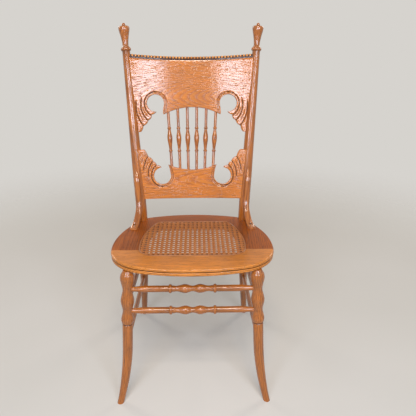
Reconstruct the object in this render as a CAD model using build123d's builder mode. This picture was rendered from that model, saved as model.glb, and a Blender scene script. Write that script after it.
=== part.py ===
"""Golden oak side chair: turned posts and legs, a carved bowed back and a woven cane seat.

The chair stands on the floor at z = 0, its front faces -Y, and the origin lies on the floor
at the middle of its outline. All sizes are in millimetres.
"""
import os
from math import cos, radians, sin, sqrt, tan

from build123d import *

os.makedirs("parts", exist_ok=True)

# Fits and joinery
fit_gap = 0.12            # glue gap around a tenon or dowel, and along a coped joint
end_gap = 0.8             # room left at the bottom of a blind hole
stretcher_tenon_radius = 6.0
dowel_radius = 4.0
dowel_half_length = 14.0

# Seat frame, seen from above
seat_top = 447.0
seat_thickness = 22.0
seat_front_y = -254.2     # middle of the front edge
seat_back_y = 154.3       # middle of the back edge
seat_half_width = 239.5
seat_widest_y = -94.2
seat_front_radius = 549.0 # the outline is where four large discs overlap
seat_side_radius = 330.0
seat_back_radius = 467.0
seat_corner_radius = 125.0
seat_back_round = 15.0
rail_joint_y = -126.7     # front rail meets the side rails
bead_height = 10.8        # lower bead of the moulded edge
bead_inset = 1.2
cove_height = 2.0         # groove between the bead and the upper edge
cove_inset = 5.0
edge_round = 5.0
bead_round = 3.6

# Cane opening
cane_front_y = -163.2
cane_back_y = 87.8
cane_front_x = 148.5
cane_widest = (156.6, -85.7)
cane_back_x = 114.0
cane_front_round = 44.0
cane_back_round = 24.0
groove_width = 4.4
groove_depth = 5.0
rebate_depth = 1.6        # the cane lies this far below the seat top
rebate_width = 13.0       # cane resting on the wood, inside the groove
cane_thickness = 1.2
cane_pitch = 14.0
cane_hole_radius = 2.6
cane_columns = 19
cane_rows = 16
cane_edge = 2.0           # unbroken border inside the opening
reed_rise = 0.8           # rounded top of the reed above the seat
reed_round = 1.6

# Back: a plane leaning back, with u to the right and v upwards along it
lean = radians(12.36)
back_ref_y = 105.6        # post axis at seat height
post_ref_x = 168.0
post_splay = 0.0727       # sideways travel per millimetre of v
knee_z = 420.0            # where the two straight runs of the post would cross
knee_radius = 350.0
rear_foot = (194.0, 242.9, 0.0)
post_radius = 17.5
post_taper_v = 150.0      # the post is straight up to here
ring_v = 546.5
post_top_radius = 12.3
rear_foot_radius = 9.4
floor_overrun = 10.0      # legs run below the floor, then are cut flat

# Finial, turned on the end of each post
collar_top_v = 557.5
collar_radius = 16.3
finial_neck_v = 562.0
finial_neck_radius = 9.6
cup_mid_v = 591.0
cup_mid_radius = 12.6
cup_rim_v = 616.5
cup_rim_radius = 17.6
cup_top_v = 622.5
cup_top_radius = 13.4
button_neck_radius = 4.2
button_neck_height = 1.2
button_radius = 5.6

# Crest rail and lower splat, both bent to the same radius
board_thickness = 18.0
board_radius = 624.0
crest_bow = 30.0          # how far the middle lies behind the posts
splat_bow = 19.75
hole_radius = 27.7
crest_hole = (119.0, 384.8)
splat_hole = (99.5, 147.5)
crest_top_v = 520.8       # in the middle
crest_dish = 4.4          # the top edge rises by this towards the posts
crest_wing_v = 291.5
crest_arch_v = 372.0
splat_top_v = 167.2
splat_bottom_v = 72.0
splat_wing_v = 234.5
arch_radius = 195.0
lobe_bulge = 1.8
carve_depth = 1.4
carve_width = 2.6
back_dowel_inner = 36.0   # from the post axis into the board
back_dowel_outer = 4.0    # from the post axis to the dowel's end in the post
crest_dowel_v = (345.0, 420.0, 495.0)
splat_dowel_v = (95.0, 195.0)
board_end_inset = 8.5     # the boards end this far short of the post axis
cut_reach = 70.0          # long enough to cut through a bowed board

# Lower outline of the crest's right wing: where each feather's rounded edge starts and ends
# (the first one starts at the round cut-out)
crest_feather_starts = ((132.3, 342.2), (144.5, 326.0), (159.5, 309.9))
crest_feather_ends = ((132.0, 347.4), (141.0, 330.4), (154.6, 313.9), (167.4, 291.5))
crest_inner_tip = (93.6, 348.8)
crest_throat_ways = ((0.17, -0.98), (-0.3, -0.95))   # directions of the curve beside the cut-out
# Upper outline of the splat's right wing
splat_feather_starts = ((118.6, 184.6), (130.0, 198.5), (146.0, 212.6))
splat_feather_ends = ((117.0, 182.6), (128.4, 195.3), (143.5, 211.0), (157.6, 234.5))
splat_inner_tip = (80.0, 184.5)
splat_throat_ways = ((0.17, 0.98), (0.4, 0.92))
crest_hook_turn = -95.0   # where the hook and the throat leave each round cut-out, degrees
crest_throat_turn = 190.0
splat_hook_turn = 84.0
splat_throat_turn = -190.0
# Carved arcs around each round cut-out: radius, first and last angle in degrees,
# counted from straight sideways (towards the post) and positive towards the board
carved_arcs = (
    (34.5, -60.0, 190.0),
    (43.5, -56.0, 45.0),
    (61.5, -62.0, 12.0),
)

# Pearl moulding on the crest
pearl_count = 39
pearl_radius = 5.2
pearl_strip_height = 5.6
pearl_strip_depth = 12.0
pearl_rod_radius = 3.9
pearl_strip_sink = 2.6    # how far the pearls sink into their strip
pearl_end_gap = 0.6       # between the last pearl and the post

# Spindles
spindle_count = 6
spindle_pitch_top = 31.5
spindle_pitch_bottom = 27.4
spindle_tenon = 12.0
spindle_shaft = 4.6
spindle_ring_top = 304.0
spindle_ring_bottom = 229.5
spindle_ring_radius = 6.4
spindle_ring_half = 3.2
spindle_bulge_v = 272.0
spindle_bulge_radius = 8.4

# Front legs and stretchers
leg_inset = 58.5          # from the widest part of the seat to the leg's centre
leg_top = (seat_half_width - leg_inset, -209.2)
leg_splay = 0.0437        # outward and forward travel per millimetre of height
leg_sweep_z = 190.0       # the turned part ends and the sweep begins
leg_floor = (leg_top[0] + 39.6, -246.7)
leg_tenon_radius = 11.0
leg_tenon_length = 13.0
leg_tenon_gap = 0.3       # the leg's tenon stands at a slant in its socket
leg_top_radius = 12.4     # the leg necks in under the seat
leg_bulb_radius = (20.6, 19.4, 18.4)  # from the top bulb down
leg_neck_radius = 13.7
leg_shaft_radius = 14.9
leg_mid_radius = 13.0     # half way down the sweep
leg_foot_radius = 9.5
leg_bulb_z = (402.0, 331.0, 270.0)
leg_neck_z = (364.0, 298.5)
leg_shoulder_z = 261.0
leg_shoulder_radius = 16.2
leg_groove_z = 257.5
leg_groove_radius = 13.4
leg_groove_half = 1.6
front_stretcher_z = (366.5, 298.5)
side_stretcher_z = (320.0, 200.0)
back_stretcher_z = 260.0
stretcher_radius = 9.3
stretcher_bead_radius = 12.7
stretcher_waist_radius = 7.9
stretcher_bead_x = 63.0   # outer ring
stretcher_bulb_x = 20.5   # inner bulb
stretcher_bead_half = 4.6
stretcher_waist_x = 46.0
stretcher_taper_length = 34.0
front_tenon_radius = 7.0
side_stretcher_radius = 7.6
socket_reach = 34.0       # a socket tool starts this far outside the leg's centre

# Hip braces, in a plane through the post axis and the toe
brace_toe = (178.0, 32.8)
brace_top_v = 174.0
brace_half_width = 8.8
brace_flare = 15.0        # outer edge of the toe, beyond the straight part
brace_tuck = 7.0          # inner edge of the toe, drawn in by this much
brace_point_share = 0.72  # half width left midway along the pointed end
brace_heel_way = (0.8, -0.6)     # directions of the edges at the ends of their curves
brace_toe_way = (-0.9, 0.44)
brace_tip_way = (-0.35, 1)
brace_flare_way = (-0.45, 1)
brace_thickness = 12.0
brace_point_v = 128.0     # the brace narrows to a point above here
brace_bend_v = 72.0       # below here it leaves the post
brace_heel = 56.0         # where its inner face lands on the seat, from the post axis
brace_toe_end = 84.0
brace_toe_height = 6.0
brace_tip_thickness = 1.4
brace_trim = 6.0          # sawn long, then trimmed level with the seat
brace_depth = 30.0        # half the stock the brace is sawn from
brace_dowel_v = 118.0
brace_dowel_radius = 3.0
brace_dowel_reach = (7.0, 24.5)
brace_screw_reach = 66.0  # from the post axis
brace_screw_side = 9.5    # outward from the straight part's centre

# Screws
screw_shank = 2.2
screw_head_radius = 4.2
screw_head_height = 2.4
screw_seat_height = 8.0   # underside of the head above the seat
screw_bite = 13.0         # thread in the rail
post_bolt_radius = 3.2
post_bolt_head = 6.5
post_bolt_head_height = 3.0
post_bolt_way = (-0.62, -0.78)   # from the post into the seat corner
post_bolt_bite = 42.0     # from the post centre into the rail
post_bolt_set = 13.5      # from the post centre out to the head's seat
rail_dowel_z = 434.0
front_dowel_x = (180.0, 212.0)
back_dowel_run = (13.0, 33.0)    # along the back joint, from the cane corner
back_joint_slope = 0.545         # sideways travel of the back joint per millimetre of y

seat_bottom = seat_top - seat_thickness


# Small helpers
def rod(start, end, radius):
    """A plain round bar between two points."""
    with BuildPart() as bar:
        with BuildSketch(Plane(start, z_dir=end - start)):
            Circle(radius)
        extrude(amount=(end - start).length)
    return bar.part


def axis_plane(start, direction):
    """A plane that holds an axis: local x is the radius, local y runs along the axis."""
    side = Vector(1, 0, 0)
    if abs(direction.X) > abs(direction.Z):
        side = Vector(0, 0, 1)
    radial = (side - direction * side.dot(direction)).normalized()
    return Plane(start, x_dir=radial, z_dir=radial.cross(direction))


# The leaning frame of the back
along_v = Vector(0, sin(lean), cos(lean))
back_origin = Vector(0, back_ref_y, seat_top)
back_plane = Plane(back_origin, x_dir=(1, 0, 0), z_dir=(0, -cos(lean), sin(lean)))


def back_point(u, v, behind=0.0):
    """A point of the back: u right, v up the lean, behind = distance to the rear."""
    return back_plane.from_local_coords(Vector(u, v, -behind))


def bow(u, middle, offset=0.0):
    """How far a bent board lies behind the back plane at u."""
    return middle - board_radius + sqrt((board_radius + offset) ** 2 - u * u)


def post_u(v):
    return post_ref_x + post_splay * v


# The path of the right back post: straight, bend, straight
knee_v = (knee_z - seat_top) / cos(lean)
knee = back_point(post_u(knee_v), knee_v)
post_up = (back_point(post_u(1.0), 1.0) - back_point(post_u(0.0), 0.0)).normalized()
foot_point = Vector(*rear_foot)
post_down = (foot_point - knee).normalized()
knee_half = radians(post_up.get_angle(post_down * -1.0)) / 2
knee_run = knee_radius * tan(knee_half)
bend_top = knee + post_up * knee_run
bend_low = knee + post_down * knee_run
bend_mid = knee + (post_up + post_down).normalized() * (knee_radius / cos(knee_half) - knee_radius)
bend_top_v = back_plane.to_local_coords(bend_top).Y
v_stretch = sqrt(1 + post_splay ** 2)


def post_s(v):
    """Distance along the post above the bend."""
    return (v - bend_top_v) * v_stretch


button_base = post_s(cup_top_v + button_neck_height)
button_middle = button_base + sqrt(button_radius ** 2 - button_neck_radius ** 2)
finial_top = button_middle + button_radius


def rear_leg_point(z):
    """A point on the axis of the straight rear leg."""
    return knee + post_down * ((knee.Z - z) / -post_down.Z)


def rear_leg_radius(z):
    share = (bend_low.Z - z) / bend_low.Z
    return post_radius + (rear_foot_radius - post_radius) * share


def post_radius_at(v):
    share = max(0.0, (v - post_taper_v) / (ring_v - post_taper_v))
    return post_radius + (post_top_radius - post_radius) * share


def front_leg_point(z):
    """A point on the straight upper axis of the right front leg."""
    drop = seat_bottom - z
    return Vector(leg_top[0] + leg_splay * drop, leg_top[1] - leg_splay * drop, z)


def mirrored(point):
    return Vector(-point.X, point.Y, point.Z)


def toward(a, b, distance):
    return a + (b - a).normalized() * distance


# Stretcher axes, right side, from leg centre to leg centre
front_ends = [front_leg_point(z) for z in front_stretcher_z]
side_ends = [(front_leg_point(z), rear_leg_point(z)) for z in side_stretcher_z]
back_end = rear_leg_point(back_stretcher_z)
tenon_past_centre = 2.0   # every tenon runs this far past the leg's centre


def grown_post(gap):
    """The plain post with a gap all round, used to cope the pieces that meet it."""
    with BuildPart() as tool:
        with BuildLine() as bend:
            ThreePointArc(bend_low, bend_mid, bend_top)
        with BuildSketch(Plane(bend_low, z_dir=post_down * -1.0)):
            Circle(post_radius + gap)
        sweep(path=bend.line)
        with BuildSketch(axis_plane(bend_top, post_up)):
            with BuildLine():
                Polyline(
                    (0, 0),
                    (post_radius + gap, 0),
                    (post_radius + gap, post_s(post_taper_v)),
                    (post_top_radius + gap, post_s(ring_v)),
                    (0, post_s(ring_v)),
                    close=True,
                )
            make_face()
        revolve(axis=Axis(bend_top, post_up))
    return tool.part


post_tool = grown_post(fit_gap)
post_tool_left = mirror(post_tool, about=Plane.YZ)


# Back posts: rear leg, bend, shaft and finial in one piece
with BuildPart() as back_post_right:
    with BuildLine() as bend_path:
        ThreePointArc(bend_low, bend_mid, bend_top)
    with BuildSketch(Plane(bend_low, z_dir=post_down * -1.0)):
        Circle(post_radius)
    sweep(path=bend_path.line)
    with BuildSketch(axis_plane(bend_top, post_up)):
        with BuildLine():
            Polyline(
                (0, finial_top),
                (0, 0),
                (post_radius, 0),
                (post_radius, post_s(post_taper_v)),
                (post_top_radius, post_s(ring_v)),
            )
            ThreePointArc(
                (post_top_radius, post_s(ring_v)),
                (collar_radius, post_s((ring_v + collar_top_v) / 2)),
                (post_top_radius, post_s(collar_top_v)),
            )
            Line(
                (post_top_radius, post_s(collar_top_v)),
                (finial_neck_radius, post_s(finial_neck_v)),
            )
            Spline(
                (finial_neck_radius, post_s(finial_neck_v)),
                (cup_mid_radius, post_s(cup_mid_v)),
                (cup_rim_radius, post_s(cup_rim_v)),
                tangents=((0, 1), (0, 1)),
            )
            RadiusArc(
                (cup_rim_radius, post_s(cup_rim_v)),
                (cup_top_radius, post_s(cup_top_v)),
                -(cup_top_v - cup_rim_v) * v_stretch,
            )
            Polyline(
                (cup_top_radius, post_s(cup_top_v)),
                (button_neck_radius, post_s(cup_top_v)),
                (button_neck_radius, button_base),
            )
            ThreePointArc(
                (button_neck_radius, button_base),
                (button_radius, button_middle),
                (0, finial_top),
            )
        make_face()
    revolve(axis=Axis(bend_top, post_up))
    rear_run = (foot_point - bend_low).length + floor_overrun
    with BuildSketch(axis_plane(bend_low, post_down)):
        with BuildLine():
            Polyline(
                (0, 0), (post_radius, 0), (rear_foot_radius, rear_run), (0, rear_run), close=True
            )
        make_face()
    revolve(axis=Axis(bend_low, post_down))
    with BuildSketch(Plane.XY):
        with Locations((rear_foot[0], rear_foot[1])):
            Circle(socket_reach)
    extrude(amount=-socket_reach, mode=Mode.SUBTRACT)
    for front, rear in side_ends:
        socket_end = toward(rear, front, -tenon_past_centre - end_gap)
        add(
            rod(toward(rear, front, socket_reach), socket_end, stretcher_tenon_radius + fit_gap),
            mode=Mode.SUBTRACT,
        )
    socket_end = toward(back_end, mirrored(back_end), -tenon_past_centre - end_gap)
    add(
        rod(
            toward(back_end, mirrored(back_end), socket_reach),
            socket_end,
            stretcher_tenon_radius + fit_gap,
        ),
        mode=Mode.SUBTRACT,
    )


# Dowels between the boards and the right post, as (inner end, outer end)
def board_dowel(v, middle, extra=0.0):
    inner_u = post_u(v) - back_dowel_inner - extra
    outer_u = post_u(v) - back_dowel_outer + extra
    return (
        back_point(inner_u, v, bow(inner_u, middle)),
        back_point(outer_u, v, bow(outer_u, middle)),
    )


board_pins = [board_dowel(v, crest_bow) for v in crest_dowel_v]
board_pins += [board_dowel(v, splat_bow) for v in splat_dowel_v]
board_pin_holes = [board_dowel(v, crest_bow, end_gap) for v in crest_dowel_v]
board_pin_holes += [board_dowel(v, splat_bow, end_gap) for v in splat_dowel_v]

with BuildPart() as back_dowels:
    for inner, outer in board_pins:
        add(rod(inner, outer, dowel_radius))
        add(rod(mirrored(inner), mirrored(outer), dowel_radius))

with BuildPart() as board_pin_tool:
    for inner, outer in board_pin_holes:
        add(rod(inner, outer, dowel_radius + fit_gap))
        add(rod(mirrored(inner), mirrored(outer), dowel_radius + fit_gap))

# Bolts that pull the posts into the notches of the seat
bolt_way = Vector(*post_bolt_way, 0).normalized()
post_at_seat = Vector(bend_mid.X, bend_mid.Y, rail_dowel_z)
bolt_tip = post_at_seat + bolt_way * post_bolt_bite
bolt_seat = post_at_seat - bolt_way * post_bolt_set
bolt_top = bolt_seat - bolt_way * post_bolt_head_height

with BuildPart() as bolt_right:
    add(rod(bolt_tip, bolt_seat, post_bolt_radius))
    add(rod(bolt_seat, bolt_top, post_bolt_head))

with BuildPart() as bolt_tool:
    add(rod(bolt_tip + bolt_way * end_gap, bolt_seat, post_bolt_radius + fit_gap))
    add(rod(bolt_seat, bolt_seat - bolt_way * socket_reach, post_bolt_head + fit_gap))

with BuildPart() as post_bolts:
    add(bolt_right.part)
    mirror(bolt_right.part, about=Plane.YZ)


# Hip braces: one plane through the post axis and the toe
brace_origin = back_point(post_u(0.0), 0.0)
toe_arm = Vector(brace_toe[0], brace_toe[1], seat_top) - brace_origin
brace_out = (toe_arm - post_up * toe_arm.dot(post_up)).normalized()
brace_plane = Plane(brace_origin, x_dir=brace_out, z_dir=brace_out.cross(post_up))
brace_side = post_up.cross(brace_out)
brace_face = Plane(brace_origin, x_dir=brace_side, z_dir=brace_side.cross(post_up))


def seat_line(reach):
    """Height of the seat's top in the brace plane, at a distance from the post axis."""
    return -reach * brace_out.Z / post_up.Z


screw_foot = brace_origin + brace_out * brace_screw_reach + brace_side * brace_screw_side
screw_seat = Vector(screw_foot.X, screw_foot.Y, seat_top + screw_seat_height)
screw_tip = Vector(screw_foot.X, screw_foot.Y, seat_top - screw_bite)
up = Vector(0, 0, 1)

with BuildPart() as screw_right:
    add(rod(screw_tip, screw_seat, screw_shank))
    add(rod(screw_seat, screw_seat + up * screw_head_height, screw_head_radius))

with BuildPart() as screw_tool:
    add(rod(screw_tip - up * end_gap, screw_seat, screw_shank + fit_gap))
    add(rod(screw_seat, screw_seat + up * socket_reach, screw_head_radius + fit_gap))

with BuildPart() as brace_screws:
    add(screw_right.part)
    mirror(screw_right.part, about=Plane.YZ)

pin_root = brace_origin + post_up * brace_dowel_v
pin_inner = pin_root + brace_out * brace_dowel_reach[0]
pin_outer = pin_root + brace_out * brace_dowel_reach[1]

with BuildPart() as brace_pin:
    add(rod(pin_inner, pin_outer, brace_dowel_radius))

with BuildPart() as brace_pin_tool:
    add(rod(toward(pin_inner, pin_outer, -end_gap), toward(pin_outer, pin_inner, -end_gap),
            brace_dowel_radius + fit_gap))

with BuildPart() as brace_dowels:
    add(brace_pin.part)
    mirror(brace_pin.part, about=Plane.YZ)

inner_face = post_radius + fit_gap
outer_face = inner_face + brace_thickness
heel = (brace_heel, seat_line(brace_heel) - brace_trim)
toe_low = (brace_toe_end, seat_line(brace_toe_end) - brace_trim)
toe_high = (brace_toe_end, seat_line(brace_toe_end) + brace_toe_height)
toe_outer = brace_half_width + brace_flare
toe_inner = brace_tuck - brace_half_width
point_mid_v = (brace_point_v + brace_top_v) / 2
point_mid_side = brace_half_width * brace_point_share

with BuildPart() as hip_brace_right:
    with BuildSketch(brace_plane):
        with BuildLine():
            Line((0, brace_top_v), (0, brace_bend_v))
            Line((0, brace_bend_v), (inner_face, brace_bend_v))
            Spline((inner_face, brace_bend_v), heel, tangents=((0, -1), brace_heel_way))
            Line(heel, toe_low)
            Line(toe_low, toe_high)
            Spline(toe_high, (outer_face, brace_bend_v), tangents=(brace_toe_way, (0, 1)))
            Line((outer_face, brace_bend_v), (outer_face, brace_point_v))
            Spline(
                (outer_face, brace_point_v),
                (inner_face + brace_tip_thickness, brace_top_v),
                tangents=((0, 1), brace_tip_way),
            )
            Line((inner_face + brace_tip_thickness, brace_top_v), (0, brace_top_v))
        make_face()
    extrude(amount=brace_depth, both=True)
    with BuildSketch(brace_face):
        with BuildLine():
            low_v = toe_low[1] - floor_overrun
            Polyline(
                (toe_inner, toe_low[1]),
                (toe_inner, low_v),
                (toe_outer, low_v),
                (toe_outer, toe_low[1]),
            )
            Spline(
                (toe_outer, toe_low[1]),
                (brace_half_width, brace_bend_v),
                tangents=(brace_flare_way, (0, 1)),
            )
            Line((brace_half_width, brace_bend_v), (brace_half_width, brace_point_v))
            ThreePointArc(
                (brace_half_width, brace_point_v),
                (point_mid_side, point_mid_v),
                (0, brace_top_v),
            )
            ThreePointArc(
                (0, brace_top_v),
                (-point_mid_side, point_mid_v),
                (-brace_half_width, brace_point_v),
            )
            Line((-brace_half_width, brace_point_v), (-brace_half_width, brace_bend_v))
            Spline(
                (toe_inner, toe_low[1]),
                (-brace_half_width, brace_bend_v),
                tangents=(brace_flare_way, (0, 1)),
            )
        make_face()
    extrude(amount=cut_reach * 2, both=True, mode=Mode.INTERSECT)
    with BuildSketch(Plane.XY.offset(seat_top)):
        with Locations(brace_toe):
            Circle(brace_toe_end)
    extrude(amount=-cut_reach, mode=Mode.SUBTRACT)
    add(post_tool, mode=Mode.SUBTRACT)
    add(brace_pin_tool.part, mode=Mode.SUBTRACT)
    add(screw_tool.part, mode=Mode.SUBTRACT)

with BuildPart() as hip_brace_left:
    mirror(hip_brace_right.part, about=Plane.YZ)

with BuildPart(mode=Mode.PRIVATE) as post_cuts:
    add(board_pin_tool.part)
    add(bolt_tool.part)
    add(brace_pin_tool.part)

with BuildPart() as back_post_right_done:
    add(back_post_right.part)
    add(post_cuts.part, mode=Mode.SUBTRACT)

with BuildPart() as back_post_left_done:
    mirror(back_post_right_done.part, about=Plane.YZ)


# Crest rail and lower splat
def across_plane(v):
    """A plane across the back at height v: local x = u, local y = distance behind."""
    return Plane(back_point(0, v), x_dir=(1, 0, 0), z_dir=along_v)


def bowed_slab(middle, front, rear, low_v, high_v):
    """A bent board between two offsets from its middle surface."""
    half = post_u(high_v) - board_end_inset / 2
    with BuildPart() as slab:
        with BuildSketch(across_plane(low_v)):
            with BuildLine():
                ThreePointArc(
                    (-half, bow(half, middle, front)),
                    (0, bow(0, middle, front)),
                    (half, bow(half, middle, front)),
                )
                Line((half, bow(half, middle, front)), (half, bow(half, middle, rear)))
                ThreePointArc(
                    (half, bow(half, middle, rear)),
                    (0, bow(0, middle, rear)),
                    (-half, bow(half, middle, rear)),
                )
                Line((-half, bow(half, middle, rear)), (-half, bow(half, middle, front)))
            make_face()
        extrude(amount=high_v - low_v)
    return slab.part


def carving(hole, up_sign):
    """Annular grooves around both round cut-outs, as a through tool."""
    with BuildPart() as tool:
        for side in (1, -1):
            for radius, first, last in carved_arcs:
                with BuildSketch(back_plane):
                    with BuildLine():
                        corners = []
                        for r in (radius - carve_width / 2, radius + carve_width / 2):
                            for share in (0.0, 0.5, 1.0):
                                turn = radians(first + (last - first) * share)
                                corners.append(
                                    (
                                        side * (hole[0] + r * cos(turn)),
                                        hole[1] + up_sign * r * sin(turn),
                                    )
                                )
                        ThreePointArc(*corners[:3])
                        Line(corners[2], corners[5])
                        ThreePointArc(corners[5], corners[4], corners[3])
                        Line(corners[3], corners[0])
                    make_face()
                extrude(amount=cut_reach, both=True)
    return tool.part


def on_circle(hole, degrees):
    return (hole[0] + hole_radius * cos(radians(degrees)), hole[1] + hole_radius * sin(radians(degrees)))


skin_front = -board_thickness / 2 - carve_depth
skin_rear = -board_thickness / 2 + carve_depth

# Spindles: axis ends on the edges of the two boards
def crest_edge(u):
    return crest_arch_v - arch_radius + sqrt(arch_radius ** 2 - u * u)


def splat_edge(u):
    return splat_top_v + arch_radius - sqrt(arch_radius ** 2 - u * u)


spindle_lines = []
for index in range(spindle_count):
    place = index - (spindle_count - 1) / 2
    low_u = place * spindle_pitch_bottom
    high_u = place * spindle_pitch_top
    low_end = back_point(low_u, splat_edge(low_u), bow(low_u, splat_bow))
    high_end = back_point(high_u, crest_edge(high_u), bow(high_u, crest_bow))
    spindle_lines.append((low_end, high_end, splat_edge(low_u), crest_edge(high_u)))

with BuildPart() as spindle_sockets:
    for low_end, high_end, low_v, high_v in spindle_lines:
        reach = spindle_tenon + end_gap
        add(rod(toward(high_end, low_end, reach), toward(high_end, low_end, -reach),
                spindle_shaft + fit_gap))
        add(rod(toward(low_end, high_end, reach), toward(low_end, high_end, -reach),
                spindle_shaft + fit_gap))

# The crest's top edge is a shallow arc, lowest in the middle
crest_end_v = crest_top_v + crest_dish
crest_end_u = post_u(crest_end_v) - board_end_inset
dish_radius = (crest_end_u ** 2 + crest_dish ** 2) / (2 * crest_dish)


def dish(u):
    return dish_radius - sqrt(dish_radius ** 2 - u * u)


with BuildPart() as crest_grooves:
    add(carving(crest_hole, 1))
    add(
        bowed_slab(crest_bow, skin_front, skin_rear, crest_wing_v, crest_top_v),
        mode=Mode.INTERSECT,
    )

with BuildPart() as splat_grooves:
    add(carving(splat_hole, -1))
    add(
        bowed_slab(splat_bow, skin_front, skin_rear, splat_bottom_v, splat_wing_v),
        mode=Mode.INTERSECT,
    )

with BuildPart() as crest_rail:
    with BuildSketch(back_plane):
        with BuildLine():
            Polyline(
                (crest_end_u, crest_end_v),
                (post_u(crest_wing_v) - board_end_inset, crest_wing_v),
                crest_feather_ends[-1],
            )
            Line((0, crest_arch_v), (0, crest_top_v))
            ThreePointArc(
                (0, crest_top_v),
                (crest_end_u / 2, crest_top_v + dish(crest_end_u / 2)),
                (crest_end_u, crest_end_v),
            )
            hook = on_circle(crest_hole, crest_hook_turn)
            throat = on_circle(crest_hole, crest_throat_turn)
            starts = (hook,) + crest_feather_starts
            for start, end in zip(starts, crest_feather_ends):
                SagittaArc(end, start, lobe_bulge)
            for start, end in zip(crest_feather_starts, crest_feather_ends):
                Line(start, end)
            side_turn = (crest_hook_turn + crest_throat_turn) / 2
            ThreePointArc(hook, on_circle(crest_hole, side_turn), throat)
            Spline(throat, crest_inner_tip, tangents=crest_throat_ways)
            middle_u = crest_inner_tip[0] / 2
            ThreePointArc(crest_inner_tip, (middle_u, crest_edge(middle_u)), (0, crest_arch_v))
        make_face()
        mirror(about=Plane.YZ)
    extrude(amount=cut_reach, both=True)
    add(
        bowed_slab(
            crest_bow,
            -board_thickness / 2,
            board_thickness / 2,
            crest_wing_v - floor_overrun,
            crest_top_v + floor_overrun,
        ),
        mode=Mode.INTERSECT,
    )
    add(crest_grooves.part, mode=Mode.SUBTRACT)
    add(post_tool, mode=Mode.SUBTRACT)
    add(post_tool_left, mode=Mode.SUBTRACT)
    add(board_pin_tool.part, mode=Mode.SUBTRACT)
    add(spindle_sockets.part, mode=Mode.SUBTRACT)

with BuildPart() as lower_splat:
    with BuildSketch(back_plane):
        with BuildLine():
            Polyline(
                (0, splat_top_v),
                (0, splat_bottom_v),
                (post_u(splat_bottom_v) - board_end_inset, splat_bottom_v),
                (post_u(splat_wing_v) - board_end_inset, splat_wing_v),
                splat_feather_ends[-1],
            )
            hook = on_circle(splat_hole, splat_hook_turn)
            throat = on_circle(splat_hole, splat_throat_turn)
            starts = (hook,) + splat_feather_starts
            for start, end in zip(starts, splat_feather_ends):
                SagittaArc(start, end, lobe_bulge)
            for start, end in zip(splat_feather_starts, splat_feather_ends):
                Line(start, end)
            side_turn = (splat_hook_turn + splat_throat_turn) / 2
            ThreePointArc(hook, on_circle(splat_hole, side_turn), throat)
            Spline(throat, splat_inner_tip, tangents=splat_throat_ways)
            middle_u = splat_inner_tip[0] / 2
            ThreePointArc(splat_inner_tip, (middle_u, splat_edge(middle_u)), (0, splat_top_v))
        make_face()
        mirror(about=Plane.YZ)
    extrude(amount=cut_reach, both=True)
    add(
        bowed_slab(
            splat_bow,
            -board_thickness / 2,
            board_thickness / 2,
            splat_bottom_v - floor_overrun,
            splat_wing_v + floor_overrun,
        ),
        mode=Mode.INTERSECT,
    )
    add(splat_grooves.part, mode=Mode.SUBTRACT)
    add(post_tool, mode=Mode.SUBTRACT)
    add(post_tool_left, mode=Mode.SUBTRACT)
    add(board_pin_tool.part, mode=Mode.SUBTRACT)
    add(spindle_sockets.part, mode=Mode.SUBTRACT)

# Pearl moulding, glued along the top of the crest
pearl_v = crest_top_v + pearl_strip_height + pearl_radius - pearl_strip_sink
pearl_end_v = pearl_v + crest_dish
pearl_reach = post_u(pearl_end_v) - post_radius_at(pearl_end_v) - pearl_radius - pearl_end_gap
pearl_step = 2 * pearl_reach / (pearl_count - 1)


def pearl_place(u):
    return back_point(u, pearl_v + dish(u), bow(u, crest_bow))


with BuildPart() as crest_bead_moulding:
    with BuildSketch(back_plane):
        with BuildLine():
            for lift in (0, pearl_strip_height):
                ThreePointArc(
                    (-crest_end_u, crest_end_v + lift),
                    (0, crest_top_v + lift),
                    (crest_end_u, crest_end_v + lift),
                )
            for end_u in (-crest_end_u, crest_end_u):
                Line((end_u, crest_end_v), (end_u, crest_end_v + pearl_strip_height))
        make_face()
    extrude(amount=cut_reach, both=True)
    add(
        bowed_slab(
            crest_bow,
            -pearl_strip_depth / 2,
            pearl_strip_depth / 2,
            crest_top_v - floor_overrun,
            crest_end_v + floor_overrun,
        ),
        mode=Mode.INTERSECT,
    )
    add(post_tool, mode=Mode.SUBTRACT)
    add(post_tool_left, mode=Mode.SUBTRACT)
    with BuildLine() as pearl_line:
        ThreePointArc(pearl_place(-pearl_reach), pearl_place(0), pearl_place(pearl_reach))
    with BuildSketch(pearl_line.line ^ 0):
        Circle(pearl_rod_radius)
    sweep(path=pearl_line.line)
    for index in range(pearl_count):
        with Locations(pearl_place(-pearl_reach + index * pearl_step)):
            Sphere(pearl_radius)

# Spindles
spindles = []
for low_end, high_end, low_v, high_v in spindle_lines:
    run = (high_end - low_end).length
    per_v = run / (high_v - low_v)
    ring_low = (spindle_ring_bottom - low_v) * per_v
    ring_high = (spindle_ring_top - low_v) * per_v
    bulge = (spindle_bulge_v - low_v) * per_v
    way = (high_end - low_end).normalized()
    with BuildPart() as spindle:
        with BuildSketch(axis_plane(low_end, way)):
            with BuildLine():
                Polyline(
                    (spindle_shaft, ring_low - spindle_ring_half),
                    (spindle_shaft, -spindle_tenon),
                    (0, -spindle_tenon),
                    (0, run + spindle_tenon),
                    (spindle_shaft, run + spindle_tenon),
                    (spindle_shaft, ring_high + spindle_ring_half),
                )
                ThreePointArc(
                    (spindle_shaft, ring_low - spindle_ring_half),
                    (spindle_ring_radius, ring_low),
                    (spindle_shaft, ring_low + spindle_ring_half),
                )
                Spline(
                    (spindle_shaft, ring_low + spindle_ring_half),
                    (spindle_bulge_radius, bulge),
                    (spindle_shaft, ring_high - spindle_ring_half),
                    tangents=((0, 1), (0, 1)),
                )
                ThreePointArc(
                    (spindle_shaft, ring_high - spindle_ring_half),
                    (spindle_ring_radius, ring_high),
                    (spindle_shaft, ring_high + spindle_ring_half),
                )
            make_face()
        revolve(axis=Axis(low_end, way))
    spindles.append(spindle)


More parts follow.
